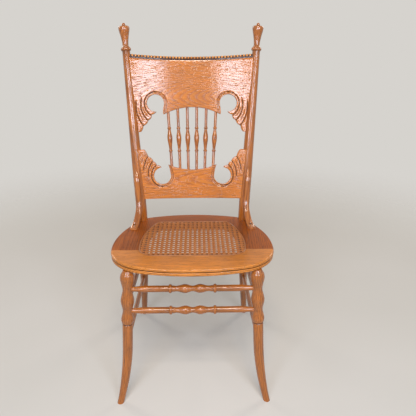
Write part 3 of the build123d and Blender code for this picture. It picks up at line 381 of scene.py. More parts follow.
def turned_bar(name, node_name, profile, centres, ways, side, shift, cuts=(None, None)):
    """Circles square to a path, one for each (place, radius) of the profile, with a disc at each end.

    A point is centre + radius * (cos a * side + sin a * third), with side and third square to
    the path. A cut slides an end circle along the path until it lies level at that height. The
    shift says where in the timber the piece was cut from, so that no two pieces look alike.
    """
    places, radii = profile.T
    side = unit(side - (ways @ side)[:, None] * ways)
    third = np.cross(ways, side)
    angle = np.linspace(0, 2 * np.pi, AROUND, endpoint=False)
    across, along = np.cos(angle)[None, :, None], np.sin(angle)[None, :, None]
    points = centres[:, None] + radii[:, None, None] * (across * side[:, None] + along * third[:, None])
    for end, level in zip((0, -1), cuts):
        if level is not None:
            slide = (level - points[end, :, 2]) / ways[end, 2]
            points[end] += ways[end] * slide[:, None]
    rows, count = len(places), len(places) * AROUND
    first_ring, last_ring = end_faces(rows, AROUND)
    discs = [fan_faces(first_ring, count), fan_faces(last_ring, count + 1)]
    timber = np.empty((rows, AROUND, 3))
    timber[..., 0] = radii[:, None] * np.cos(angle)
    timber[..., 1] = radii[:, None] * np.sin(angle)
    timber[..., 2] = places[:, None]
    tip_timber = np.array([[0, 0, places[0]], [0, 0, places[-1]]])
    add_piece(
        name,
        np.concatenate([points.reshape(-1, 3), points[[0, -1]].mean(1)]),
        [grid_faces(rows, AROUND, wrap_columns=True), np.concatenate(discs)],
        turned_oak, [node_name],
        np.concatenate([timber.reshape(-1, 3), tip_timber]) + shift,
        np.concatenate([np.repeat(crease_stain_and_shade(places, radii), AROUND), [0.0, 0.0]]),
    )


print("circles have", AROUND, "points")

# %% Profiles
UP, RIGHT = np.array([0.0, 0.0, 1.0]), np.array([1.0, 0.0, 0.0])
MIRROR = np.array([-1.0, 1.0, 1.0])
BEAD_STEP = 0.3         # a curve stops this far short of a bead


def ring(middle, half, base, top, first=-90.0, last=90.0, count=11):
    """Places and radii of a half-round bead: an arc from the base up to the top and down again."""
    angle = np.radians(np.linspace(first, last, count))
    return np.stack([middle + half * np.sin(angle), base + (top - base) * np.cos(angle)], 1)


def curve(count, *knots):
    """Places and radii of an eased line through a few knots."""
    places = np.linspace(knots[0][0], knots[-1][0], count)
    return np.stack([places, ease(places, knots)], 1)


def straight(start, end, profile, name, side, shift):
    """A turned bar on a straight axis; the profile's places count from the start."""
    way = unit(end - start)
    turned_bar(f"{name}_turned", name, profile, start + profile[:, :1] * way,
               np.tile(way, (len(profile), 1)), side, shift)


print("a bead is drawn with", len(ring(0.0, 1.0, 0.0, 1.0)), "circles")

# %% [markdown]
# ## Back posts
# Each post is one stick of oak from the floor to the finial: a tapered rear leg, a steam bend at
# the seat, a long shaft, and a collar, cup and button turned at the top. Leg and post could be two
# pieces, but then the grain would break off at the joint. So the path is a straight line, an arc and
# another straight line, and one profile is laid along all of it.

# %% The leaning back
SEAT_TOP, SEAT_BOTTOM = 447.0, 425.0
LEAN = radians(12.36)
BACK_Y = 105.6
POST_X, POST_SPLAY = 168.0, 0.0727
V_STRETCH = sqrt(1 + POST_SPLAY ** 2)   # length along a post for each millimetre up the back


def back_point(u, v, behind=0.0):
    """A point of the leaning back: u to the right, v up the lean, behind towards the rear."""
    y = BACK_Y + v * sin(LEAN) + behind * cos(LEAN)
    z = SEAT_TOP + v * cos(LEAN) - behind * sin(LEAN)
    return np.stack(np.broadcast_arrays(u, y, z), -1)


def post_u(v):
    """Sideways place of a post's centre at height v of the back."""
    return POST_X + POST_SPLAY * v


print("the back leans by", round(float(np.degrees(LEAN)), 2), "degrees")

# %% The bent path of a back post
KNEE_Z, KNEE_RADIUS = 420.0, 350.0
REAR_FOOT = np.array([194.0, 242.9, 0.0])
knee_v = (KNEE_Z - SEAT_TOP) / cos(LEAN)
knee = back_point(post_u(knee_v), knee_v)
post_up = unit(back_point(post_u(1.0), 1.0) - back_point(post_u(0.0), 0.0))
post_down = unit(REAR_FOOT - knee)
knee_half = np.arccos(post_up @ -post_down) / 2
bend_run, bend_length = KNEE_RADIUS * tan(knee_half), 2 * knee_half * KNEE_RADIUS
bend_top, bend_low = knee + post_up * bend_run, knee + post_down * bend_run
bend_centre = knee + unit(post_up + post_down) * KNEE_RADIUS / cos(knee_half)
bend_top_v = (bend_top[2] - SEAT_TOP) / cos(LEAN)
rear_length = np.linalg.norm(REAR_FOOT - bend_low)


def post_path(place):
    """Centre and direction at a distance above the bend: straight, then an arc, then straight."""
    angle = (np.clip(-place, 0, bend_length) / KNEE_RADIUS)[:, None]
    out = unit(bend_top - bend_centre)
    way = np.cos(angle) * post_up + np.sin(angle) * out
    arc = bend_centre + KNEE_RADIUS * (np.cos(angle) * out - np.sin(angle) * post_up)
    beyond = np.where(place > 0, place, np.minimum(place + bend_length, 0.0))
    return arc + beyond[:, None] * way, way


print("post bend:", round(float(np.degrees(2 * knee_half)), 1), "degrees")

# %% Both back posts
POST_RADIUS, POST_TOP_RADIUS, REAR_FOOT_RADIUS = 17.5, 12.3, 9.6
TAPER_V, RING_V = 150.0, 546.5
COLLAR_V, COLLAR_HALF, COLLAR_RADIUS = 552.0, 5.5, 16.3
CUP_V, CUP_HALF, CUP_RIM, CUP_TOP = 617.0, 5.5, 17.6, 13.4
BUTTON_V, BUTTON_RADIUS = 627.4, 5.6
FINIAL = ((558.0, 12.4), (563.5, 9.6), (570.0, 9.7), (591.0, 12.6), (CUP_V, CUP_RIM))   # neck and cup
REAR_ROWS, BEND_ROWS, SHAFT_ROWS, FINIAL_ROWS = 16, 18, 26, 26


def post_radius(v):
    """A plain post up to TAPER_V, then a straight taper to the collar."""
    return np.interp(v, (TAPER_V, RING_V), (POST_RADIUS, POST_TOP_RADIUS))


rear_places = np.concatenate([
    np.linspace(-bend_length - rear_length, -bend_length, REAR_ROWS)[:-1],
    np.linspace(-bend_length, 0, BEND_ROWS)[:-1],
])
rear_radii = np.interp(rear_places, (rear_places[0], -bend_length), (REAR_FOOT_RADIUS, POST_RADIUS))
shaft_v = np.linspace(bend_top_v, RING_V, SHAFT_ROWS)[:-1]
upper_v = np.concatenate([
    np.stack([shaft_v, post_radius(shaft_v)], 1),
    ring(COLLAR_V, COLLAR_HALF, POST_TOP_RADIUS, COLLAR_RADIUS),
    curve(FINIAL_ROWS, *FINIAL),
    ring(CUP_V, CUP_HALF, CUP_TOP, CUP_RIM, first=8.0),
    ring(BUTTON_V, BUTTON_RADIUS, 0.0, BUTTON_RADIUS, first=-50.0, last=89.0, count=14),
])
post_profile = np.concatenate([
    np.stack([rear_places, rear_radii], 1),
    (upper_v - (bend_top_v, 0)) * (V_STRETCH, 1),
])
post_centres, post_ways = post_path(post_profile[:, 0])
for side_name, flip, shift in (("right", np.ones(3), (3, -8, 0)), ("left", MIRROR, (-9, 5, 640))):
    turned_bar(f"back_post_{side_name}_turned", f"back_post_{side_name}", post_profile,
               post_centres * flip, post_ways * flip, flip * RIGHT, shift, (0.0, None))
print("back posts:", len(post_profile), "circles each")

# %% [markdown]
# ## Front legs
# The front legs have three bulbs under the seat, each smaller than the one above, then a groove, and
# then a plain tapered shaft that was bent outwards to the floor. The bulbs could be three squashed
# balls, but a turner's tool runs from one to the next without a break, so one eased line goes through
# their widest and narrowest places. The shaft's path is an arc that starts along the leg's axis.

# %% Axis and profile of a front leg
LEG_TOP, LEG_SPLAY, LEG_SWEEP_Z = (181.0, -209.2), 0.0437, 190.0
LEG_FLOOR = np.array([220.6, -246.7, -5.0])
LEG_SHAFT, LEG_MID, LEG_FOOT, NECK = 14.9, 13.1, 9.7, 13.8
# Height and radius, from the seat down
BULBS = ((426.0, 12.4), (421.5, 13.6), (411.5, 18.9), (402.0, 20.6), (364.0, NECK), (331.0, 19.4),
         (298.5, NECK), (270.0, 18.4), (261.0, 16.6))
GROOVE_STEP = ((260.6, 16.0), (257.8, 13.4), (254.8, LEG_SHAFT))
PLAIN_SHAFT = ((225.0, LEG_SHAFT), (205.0, LEG_SHAFT))
BULB_ROWS, GROOVE_ROWS = 84, 8
DOWN = (-1, 1)          # turns heights into places that count downwards
leg_way = unit((LEG_SPLAY, -LEG_SPLAY, -1.0))


def front_leg_point(z):
    """A point of the right front leg's straight upper axis."""
    z = np.asarray(z, dtype=float)
    drop = SEAT_BOTTOM - z
    return np.stack([LEG_TOP[0] + LEG_SPLAY * drop, LEG_TOP[1] - LEG_SPLAY * drop, z], -1)


def down_from_seat(z):
    """Distance along the leg's axis below the seat."""
    return (SEAT_BOTTOM - z) * sqrt(1 + 2 * LEG_SPLAY ** 2)


upper = np.concatenate([
    curve(BULB_ROWS, *(np.array(BULBS) * DOWN)),
    curve(GROOVE_ROWS, *(np.array(GROOVE_STEP) * DOWN)),
    np.array(PLAIN_SHAFT) * DOWN,
])
print("upper leg:", len(upper), "circles")

# %% Both front legs
SWEEP_ROWS, SWEEP_SHARE = 30, 0.975     # the last circle lies about on the floor and is cut level there
leg_start = front_leg_point(LEG_SWEEP_Z)
chord = LEG_FLOOR - leg_start
outward = chord - (chord @ leg_way) * leg_way
sweep_radius = chord @ chord / (2 * np.linalg.norm(outward))
sweep_turn = 2 * np.arctan2(np.linalg.norm(outward), chord @ leg_way)
turn = np.linspace(0, sweep_turn * SWEEP_SHARE, SWEEP_ROWS)
sweep_radii = ease(turn, ((0, LEG_SHAFT), (sweep_turn / 2, LEG_MID), (sweep_turn, LEG_FOOT)))
sweep_ways = leg_way * np.cos(turn)[:, None] + unit(outward) * np.sin(turn)[:, None]
sweep_runs = leg_way * np.sin(turn)[:, None] + unit(outward) * (1 - np.cos(turn))[:, None]
leg_profile = np.concatenate([
    np.stack([down_from_seat(-upper[:, 0]), upper[:, 1]], 1),
    np.stack([down_from_seat(LEG_SWEEP_Z) + sweep_radius * turn, sweep_radii], 1),
])
leg_centres = np.concatenate([front_leg_point(-upper[:, 0]), leg_start + sweep_radius * sweep_runs])
leg_ways = np.concatenate([np.tile(leg_way, (len(upper), 1)), sweep_ways])
for side_name, flip, shift in (("right", np.ones(3), (7, 4, 1300)), ("left", MIRROR, (-5, 9, 1900))):
    turned_bar(f"front_leg_{side_name}_turned", f"front_leg_{side_name}", leg_profile,
               leg_centres * flip, leg_ways * flip, flip * RIGHT, shift, (SEAT_BOTTOM, 0.0))
print("front legs swept on a radius of", round(float(sweep_radius)), "mm")

# %% [markdown]
# ## Stretchers
# Round bars tie the legs together. The two in front are turned, with two bulbs in the middle and a ring
# on either side of them; those at the sides and behind are plain and only a little thicker in the
# middle. Each could be a cylinder with beads stuck on, but then every bead would need fitting. Here
# half a front bar's profile is drawn and mirrored, and the plain ones swell as half a sine wave.

# %% Turned front stretchers
FRONT_STRETCHER_Z = (366.5, 298.5)
TENON_PAST = 2.0        # tenons run this far past the centre of a leg
WAIST, BEAD, BAR, FRONT_TENON = 7.9, 12.7, 9.3, 7.0
BEAD_X, BEAD_HALF, BULB_X, WAIST_X, TAPER = 63.0, 4.6, 20.5, 46.0, 34.0
MIDDLE_ROWS, TAPER_ROWS = 26, 10

for level, z, shift in zip(("upper", "lower"), FRONT_STRETCHER_Z, ((4, 6, 2500), (-6, 3, 2950))):
    end = front_leg_point(z)
    shoulder = end[0] - NECK
    half = np.concatenate([
        curve(MIDDLE_ROWS, (0.0, WAIST), (BULB_X, BEAD), (WAIST_X, WAIST),
              (BEAD_X - BEAD_HALF - BEAD_STEP, BAR)),
        ring(BEAD_X, BEAD_HALF, BAR, BEAD),
        curve(TAPER_ROWS, (shoulder - TAPER, BAR), (shoulder, FRONT_TENON)),
        [(end[0] + TENON_PAST, FRONT_TENON)],
    ])
    whole = np.concatenate([half[:0:-1] * (-1, 1), half]) + (end[0], 0)
    straight(end * MIRROR, end, whole, f"front_stretcher_{level}", UP, shift)
print("front stretchers:", len(FRONT_STRETCHER_Z))

# %% Plain stretchers
SIDE_STRETCHER_Z, BACK_STRETCHER_Z = (320.0, 200.0), 260.0
ROUND_END, ROUND_MIDDLE, ROUND_ROWS = 6.0, 7.6, 40


def rear_leg_point(z):
    """A point of the straight rear leg's axis."""
    return knee + post_down * (knee[2] - z) / -post_down[2]


def plain_round(name, start, end, shift):
    """A stretcher that swells towards its middle, as half a sine wave."""
    length = np.linalg.norm(end - start)
    places = np.linspace(-TENON_PAST, length + TENON_PAST, ROUND_ROWS)
    swell = np.sin(np.pi * np.clip(places / length, 0, 1))
    radii = ROUND_END + (ROUND_MIDDLE - ROUND_END) * swell
    straight(start, end, np.stack([places, radii], 1), name, UP, shift)


for level, z in zip(("upper", "lower"), SIDE_STRETCHER_Z):
    for side_name, flip, along in (("right", np.ones(3), 3300), ("left", MIRROR, 3900)):
        plain_round(f"side_stretcher_{level}_{side_name}", front_leg_point(z) * flip,
                    rear_leg_point(z) * flip, (5, -4, along + z))
back_end = rear_leg_point(BACK_STRETCHER_Z)
plain_round("back_stretcher", back_end * MIRROR, back_end, (-3, 8, 4700))
print("plain stretchers: 4 at the sides, 1 behind")

# %% [markdown]
# ## Spindles
# Six thin spindles fan out between the splat and the crest, each with a bulge between two rings.
# One spindle could be copied and tilted, but the boards are arched and bent, so each one has its own
# length. A loop therefore finds both ends of each on the boards and turns it to fit, with the rings at
# the same heights on all six.

# %% Bow and arches of the boards
BOARD_RADIUS, CREST_BOW, SPLAT_BOW = 624.0, 30.0, 19.75
CREST_ARCH_V, SPLAT_ARCH_V, ARCH_RADIUS = 372.0, 167.2, 195.0


def bow(u, middle, offset=0.0):
    """How far a bent board lies behind the back's plane at u: a circle of BOARD_RADIUS."""
    return middle - BOARD_RADIUS + np.sqrt((BOARD_RADIUS + offset) ** 2 - np.square(u))


def crest_arch(u):
    """Lower edge of the crest between its two tips."""
    return CREST_ARCH_V - ARCH_RADIUS + np.sqrt(ARCH_RADIUS ** 2 - np.square(u))


def splat_arch(u):
    """Upper edge of the splat between its two tips."""
    return SPLAT_ARCH_V + ARCH_RADIUS - np.sqrt(ARCH_RADIUS ** 2 - np.square(u))


print("gap between the arches:", round(float(crest_arch(0.0) - splat_arch(0.0)), 1), "mm in the middle")

# %% Six spindles
SPINDLES, PITCH_TOP, PITCH_BOTTOM, SPINDLE_TENON = 6, 31.5, 27.4, 10.0
SHAFT, RING_HALF, RING_RADIUS, BULGE_V, BULGE = 4.6, 3.2, 6.4, 272.0, 8.4
RINGS_V, BULGE_ROWS = (229.5, 304.0), 20

for number in range(SPINDLES):
    place = number - (SPINDLES - 1) / 2
    low_u, high_u = place * PITCH_BOTTOM, place * PITCH_TOP
    low_v, high_v = splat_arch(low_u), crest_arch(high_u)
    low_end = back_point(low_u, low_v, bow(low_u, SPLAT_BOW))
    high_end = back_point(high_u, high_v, bow(high_u, CREST_BOW))
    shape = np.concatenate([
        [(low_v - SPINDLE_TENON, SHAFT), (low_v + SPINDLE_TENON, SHAFT)],
        ring(RINGS_V[0], RING_HALF, SHAFT, RING_RADIUS),
        curve(BULGE_ROWS, (RINGS_V[0] + RING_HALF + BEAD_STEP, SHAFT), (BULGE_V, BULGE),
              (RINGS_V[1] - RING_HALF - BEAD_STEP, SHAFT)),
        ring(RINGS_V[1], RING_HALF, SHAFT, RING_RADIUS),
        [(high_v - SPINDLE_TENON, SHAFT), (high_v + SPINDLE_TENON, SHAFT)],
    ])
    per_v = np.linalg.norm(high_end - low_end) / (high_v - low_v)
    straight(low_end, high_end, (shape - (low_v, 0)) * (per_v, 1), f"spindle_{number + 1}", RIGHT,
             (6 - number * 3, number * 4, 5400 + number * 310))
print("spindles:", SPINDLES)

# %% [markdown]
# ## Carved boards
# The crest and the lower splat are bent boards, sawn to a fretted outline and then carved: round
# each cut-out a spiral of gouge strokes runs out into four feathers. A sculpting brush could press
# such strokes in, but they would not repeat. Here the outline is drawn once, filled with small
# triangles, and every point is sunk by the depth of the deepest gouge stroke there, which is a formula
# of its angle and distance from the centre of the cut-out. Bending the board comes last.

# %% Curves of an outline
OUTLINE_STEP = 1.6      # distance between outline points


def steps_for(length):
    """How many points a stretch of outline needs."""
    return max(3, int(np.ceil(length / OUTLINE_STEP)) + 1)


def line_between(start, end):
    """Evenly spaced points from start to end."""
    start, end = np.array(start, dtype=float), np.array(end, dtype=float)
    share = np.linspace(0, 1, steps_for(np.linalg.norm(end - start)))[:, None]
    return start + (end - start) * share


def arc_between(start, end, bulge):
    """An arc from start to end whose middle lies bulge to the left of the straight line."""
    start, end = np.array(start, dtype=float), np.array(end, dtype=float)
    along, half = unit(end - start), np.linalg.norm(end - start) / 2
    radius = (half ** 2 + bulge ** 2) / (2 * bulge)
    reach = np.arcsin(half / radius)
    angle = np.linspace(-reach, reach, steps_for(2 * half))
    left = np.array([-along[1], along[0]])
    centre = (start + end) / 2 + left * (bulge - radius)
    return centre + radius * (np.outer(np.sin(angle), along) + np.outer(np.cos(angle), left))


def bend_between(start, end, ways, share=None):
    """A cubic from start to end that leaves and arrives in the two given directions.

    share says how far along each point lies, from 0 to 1; without it, the points are evenly spaced.
    """
    start, end, ways = np.array(start, dtype=float), np.array(end, dtype=float), np.array(ways)
    length = np.linalg.norm(end - start)
    t = np.linspace(0, 1, steps_for(length))[:, None] if share is None else share
    ends = start * (1 - t) ** 2 * (1 + 2 * t) + end * t ** 2 * (3 - 2 * t)
    return ends + length * (ways[0] * t * (1 - t) ** 2 - ways[1] * t ** 2 * (1 - t))


print("100 mm of outline has", steps_for(100.0), "points")

# %% Measures of the crest and the splat
END_INSET = 8.5         # the boards end this far short of a post's centre, inside the post
HOLE_RADIUS, LOBE_BULGE = 27.7, 1.8
# Each board's right half: starts and ends are those of its feathers, tip that of its arch, turns are
# where the arch and the feathers leave the round cut-out, in degrees
crest = {
    "bow": CREST_BOW, "hole": np.array([119.0, 384.8]), "up": 1.0, "turns": (190.0, -95.0),
    "tip": (93.6, 348.8), "throat": ((0.17, -0.98), (-0.3, -0.95)),
    "starts": ((132.3, 342.2), (144.5, 326.0), (159.5, 309.9)),
    "ends": ((132.0, 347.4), (141.0, 330.4), (154.6, 313.9), (167.4, 291.5)),
    "arch": crest_arch, "edge": 520.8, "dish": 4.4, "wing": 291.5,
}
splat = {
    "bow": SPLAT_BOW, "hole": np.array([99.5, 147.5]), "up": -1.0, "turns": (-190.0, 84.0),
    "tip": (80.0, 184.5), "throat": ((0.17, 0.98), (0.4, 0.92)),
    "starts": ((118.6, 184.6), (130.0, 198.5), (146.0, 212.6)),
    "ends": ((117.0, 182.6), (128.4, 195.3), (143.5, 211.0), (157.6, 234.5)),
    "arch": splat_arch, "edge": 72.0, "dish": 0.0, "wing": 234.5,
}
print("cut-outs are", 2 * HOLE_RADIUS, "mm wide")


# %% Both outlines
def board_outline(board):
    """The whole outline as one loop: the right half from the arch round to the far edge, mirrored."""
    turns = np.radians(board["turns"])
    angle = np.linspace(*turns, steps_for(HOLE_RADIUS * abs(turns[1] - turns[0])))
    cut_out = board["hole"] + HOLE_RADIUS * np.stack([np.cos(angle), np.sin(angle)], 1)
    arch_u = np.linspace(0, board["tip"][0], steps_for(board["tip"][0]))[:-1]
    edge_v = board["edge"] + board["dish"]
    edge = line_between((post_u(edge_v) - END_INSET, edge_v), (0.0, edge_v))
    edge[:, 1] -= board["dish"] * (1 - (edge[:, 0] / edge[0, 0]) ** 2)
    wing_end = (post_u(board["wing"]) - END_INSET, board["wing"])
    starts, bulge = (cut_out[-1],) + board["starts"], -board["up"] * LOBE_BULGE
    feathers = [arc_between(start, end, bulge) for start, end in zip(starts, board["ends"])]
    half = np.concatenate([
        np.stack([arch_u, board["arch"](arch_u)], 1),
        bend_between(cut_out[0], board["tip"], board["throat"])[::-1],
        cut_out[1:],
        *[feathers[0][1:]] + feathers[1:],
        line_between(wing_end, edge[0]),
        edge[1:],
    ])
    loop = np.concatenate([half, half[-2:0:-1] * (-1, 1)])
    return loop if board["up"] > 0 else loop[::-1]


for board in (crest, splat):
    board["loop"] = board_outline(board)
    print("board outline:", len(board["loop"]), "points")

# %% The gouge strokes
LEVELS = (34.6, 45.5, 60.5)     # distance of the three grooves from the cut-out's centre, abreast of it
LASTS = (84.0, 24.0, 12.0)      # angle in degrees at which each groove of the crest fades out
SHORTER = (0.0, 14.0, 22.0)     # how much sooner those of the splat do
NOTCH_RUN = 6.0                 # a stroke starts this many degrees past a notch, or short of it
FINE_LAST, OUTER_LAST = -16.0, -24.0            # where the fine strokes between the grooves fade out
OUTER_LEVEL, OUTER_REACH, OUTER_ANGLE = 8.5, 13.0, 1.5      # the outermost one, from the third groove
GROOVE, FINE, THREAD = (1.9, 2.5), (0.9, 2.0), (1.1, 1.9)   # depth and half width of each kind of stroke
THREADS, THREAD_FIRST, THREAD_LAST = (31.6, 36.4), 58.0, 192.0   # two thin lines round the inner side
THREAD_RUN = 10.0               # degrees by which they fade past their last angle


def strokes(board):
    """Each stroke: distance abreast, distance and angle at its notch, first and last angle, cut.

    The thin lines keep one distance, so the angle of a notch has no effect on them.
    """
    notches = (np.array(board["starts"]) + np.array(board["ends"])[:-1]) / 2 - board["hole"]
    notches[:, 1] *= board["up"]
    reach = np.hypot(*notches.T)
    angle = np.degrees(np.arctan2(notches[:, 1], notches[:, 0]))
    lasts = np.array(LASTS) - (np.array(SHORTER) if board["up"] < 0 else 0)
    grooves = [(LEVELS[i], reach[i], angle[i], angle[i] - NOTCH_RUN, lasts[i], GROOVE) for i in range(3)]
    fine = [(np.mean(LEVELS[i:i + 2]), np.mean(reach[i:i + 2]), np.mean(angle[i:i + 2]),
             np.mean(angle[i:i + 2]) + NOTCH_RUN, FINE_LAST, FINE) for i in range(2)]
    outer = (LEVELS[2] + OUTER_LEVEL, reach[2] + OUTER_REACH, angle[2] + OUTER_ANGLE,
             angle[2] + NOTCH_RUN, OUTER_LAST, FINE)
    thin = [(level, level, -180.0, THREAD_FIRST, THREAD_LAST + THREAD_RUN, THREAD) for level in THREADS]
    return grooves + fine + [outer] + thin


print("strokes beside each cut-out:", len(strokes(crest)))

# %% Depth of the carving
SPIRAL, SPIRAL_END = 1.6, 1.2   # how the grooves swing outward towards the notches, and how far past them
FADE_IN, FADE_OUT = 8.0, 14.0   # degrees over which a stroke starts and ends
SEAM_ANGLE = -110.0             # angles below this one count on from 180 degrees instead
GOUGE = 1.2                     # a stroke's section: 1 is a plain V, more rounds off its upper edges
THROAT_SIDES = np.array([(-3.6, 2.0), (-8.2, 3.4)])     # where the thin lines end beside the tip
TICK_RADIUS, TICK_SIZE, TICK_DEPTH = 36.0, np.array([5.0, 1.7]), 1.4    # a short dent past the cut-out


def carving(board, points, widen=1.0):
    """Depth of the carving: the deepest stroke at each point.

    A stroke follows distance = level + (notch distance - level) * (angle / notch angle) ^ SPIRAL,
    and is a V that grows shallow to either side and fades at both ends. The thin lines run on
    straight to the tip.
    """
    local = np.abs(points * (1, 0)) + points * (0, 1) - board["hole"]
    local[:, 1] *= board["up"]
    reach = np.hypot(*local.T)
    angle = np.degrees(np.arctan2(local[:, 1], local[:, 0]))
    angle = np.where(angle < SEAM_ANGLE, angle + 360, angle)
    depth = np.zeros(len(points))
    for level, far, notch, first, last, (deep, half) in strokes(board):
        swing = np.clip(angle / notch, 0, SPIRAL_END) ** SPIRAL
        off = np.abs(reach - level - (far - level) * swing)
        fade = smooth_step(first, first + FADE_IN, angle) * (1 - smooth_step(last - FADE_OUT, last, angle))
        depth = np.maximum(depth, deep * fade * np.clip(1 - off / (half * widen), 0, 1) ** GOUGE)
    deep, half = THREAD
    for level, side in zip(THREADS, THROAT_SIDES):
        start = level * np.array([cos(radians(THREAD_LAST)), sin(radians(THREAD_LAST))])
        tip = (np.array(board["tip"]) - board["hole"]) * (1, board["up"]) + side
        share = np.clip((local - start) @ (tip - start) / ((tip - start) @ (tip - start)), 0, 1)
        off = np.linalg.norm(local - start - share[:, None] * (tip - start), axis=1)
        depth = np.maximum(depth, deep * np.clip(1 - off / (half * widen), 0, 1) ** GOUGE)
    tick = 1 - np.sum(np.square((local - (0, TICK_RADIUS)) / (TICK_SIZE * widen)), 1)
    return depth + TICK_DEPTH * np.clip(tick, 0, 1)


dent = crest["hole"][None] + (0, TICK_RADIUS)
print("depth at the dent of the crest:", round(float(carving(crest, dent)[0]), 2), "mm")


# %% Points inside an outline
def hexagon_grid(low, high, step):
    """Points in staggered rows that cover a rectangle."""
    row = np.arange(low[1], high[1], step * sqrt(3) / 2)
    column = np.arange(low[0], high[0], step)
    u, v = np.meshgrid(column, row)
    u = u + (np.arange(len(row)) % 2 * step / 2)[:, None]
    return np.stack([u.ravel(), v.ravel()], 1)


def inside(points, loop):
    """Which points lie in a loop: a ray from each crosses the outline an odd number of times."""
    after = np.roll(loop, -1, 0)
    # A level side gets a tiny rise, so that nothing is divided by zero
    rise = np.where(after[:, 1] == loop[:, 1], 1e-9, after[:, 1] - loop[:, 1])
    between = (loop[:, 1] > points[:, 1:]) != (after[:, 1] > points[:, 1:])
    cross_u = loop[:, 0] + (points[:, 1:] - loop[:, 1]) * (after[:, 0] - loop[:, 0]) / rise
    return np.sum(between & (points[:, :1] < cross_u), 1) % 2 == 1


def clearance(points, loop):
    """Distance from each point to the nearest outline point."""
    gap = points[:, None].astype(np.float32) - loop[None].astype(np.float32)
    return np.sqrt(np.min(np.sum(gap * gap, -1), 1))


print("points 10 mm apart in a square of 100 mm:", len(hexagon_grid((0, 0), (100, 100), 10.0)))

# %% Points of a board
EASE = 1.4                      # rounding of the sawn edges
INSETS = ((0.6, 0.25), (1.7, 0.0))       # rows of points inside the outline and how far they sink
# Least distance of a row from the outline and of a filling point from the last row, as shares
ROW_ROOM, FILL_ROOM = 0.8, 0.45
FINE_STEP, PLAIN_STEP, STROKE_MARGIN = 1.3, 4.5, 1.7    # points lie closer in and beside the strokes


def board_points(board):
    """Points of the flat board, the outline first, and how far each sinks at the eased edge."""
    loop = board["loop"]
    tangent = unit(np.roll(loop, -1, 0) - np.roll(loop, 1, 0))
    inward = np.stack([-tangent[:, 1], tangent[:, 0]], 1)
    layers, sinks = [loop], [np.full(len(loop), EASE)]
    for inset, sink in INSETS:
        row = loop + inward * inset
        row = row[inside(row, loop) & (clearance(row, loop) > inset * ROW_ROOM)]
        layers.append(row)
        sinks.append(np.full(len(row), sink))
    for step, carved in ((FINE_STEP, True), (PLAIN_STEP, False)):
        fill = hexagon_grid(loop.min(0), loop.max(0), step)
        fill = fill[(carving(board, fill, STROKE_MARGIN) > 0) == carved]
        fill = fill[inside(fill, loop)]
        fill = fill[clearance(fill, loop) > INSETS[-1][0] + step * FILL_ROOM]
        layers.append(fill)
        sinks.append(np.zeros(len(fill)))
    return np.concatenate(layers), np.concatenate(sinks)


print("rows of points along an outline:", len(INSETS) + 1)

# %% Filling and bending the boards
BOARD_HALF = 9.0
CREASE_DEPTH = (0.1, 1.3)       # dark varnish and painted shade fill a stroke between these depths
MERGE = 1e-4                    # points nearer than this would become one


def carved_board(name, node_name, board, oak, shift):
    """Triangles inside the outline, twice: a carved front and a plain rear, joined by a wall."""
    flat, sink = board_points(board)
    rim = np.arange(len(board["loop"]))
    # The points come back in the order in which they went in
    flat, _, triangles, _, _, _ = delaunay_2d_cdt(flat.tolist(), [], [rim.tolist()], 1, MERGE)
    flat, triangles, count = np.array(flat), np.array(triangles), len(flat)
    depth = carving(board, flat)
    front = bow(flat[:, 0], board["bow"], -BOARD_HALF) + sink + depth
    rear = bow(flat[:, 0], board["bow"], BOARD_HALF) - sink
    points = np.concatenate([back_point(*flat.T, front), back_point(*flat.T, rear)])
    wall = np.stack([rim, np.roll(rim, -1), np.roll(rim, -1) + count, rim + count], 1)
    layers = (depth - BOARD_HALF, np.full(count, BOARD_HALF))
    timber = np.concatenate([np.stack([flat[:, 1], layer, flat[:, 0]], 1) for layer in layers])
    # Dark varnish and painted shade in the gouge strokes, by their depth
    stain_and_shade = np.concatenate([smooth_step(*CREASE_DEPTH, depth), np.zeros(count)])
    add_piece(name, points, [np.concatenate([triangles, triangles[:, ::-1] + count]), wall],
              oak, [node_name], timber + shift, stain_and_shade)
    print(f"{name}: {2 * len(triangles)} triangles")


carved_board("crest_rail_carved", "crest_rail", crest, crest_oak, (-430, 0, 0))
carved_board("lower_splat_carved", "lower_splat", splat, splat_oak, (-163, 6, -60))

# %% [markdown]
# ## Pearl moulding
# A strip along the dished top of the crest carries a turned string of pearls: balls on a rod, partly
# sunk in the strip. The pearls get a paler oak as a painted highlight, and painted shade darkens
# their sides and the strip between them. Each pearl could be a sphere object of its own, but 39
# objects are slow to handle. So one ball is drawn as rows of circles between two poles and copied by
# adding its points to every place along the strip, in one array.

# %% A row of pearls
PEARLS, PEARL_RADIUS, PEARL_V, PEARL_GAP = 39, 5.2, 529.0, 0.6
PEARL_SHADE = (0.4, 0.7)         # shares of the radius between which painted shade darkens a pearl's sides
BALL_ROWS, BALL_AROUND = 9, 20
STRIP_LOW, STRIP_HIGH, STRIP_HALF, STRIP_EDGE = 520.8, 526.4, 6.0, 0.7
strip_reach = post_u(STRIP_LOW + crest["dish"]) - END_INSET


def dish_rise(u):
    """How far the crest's top edge has risen at u: a parabola, highest at the posts."""
    return crest["dish"] * (u / strip_reach) ** 2


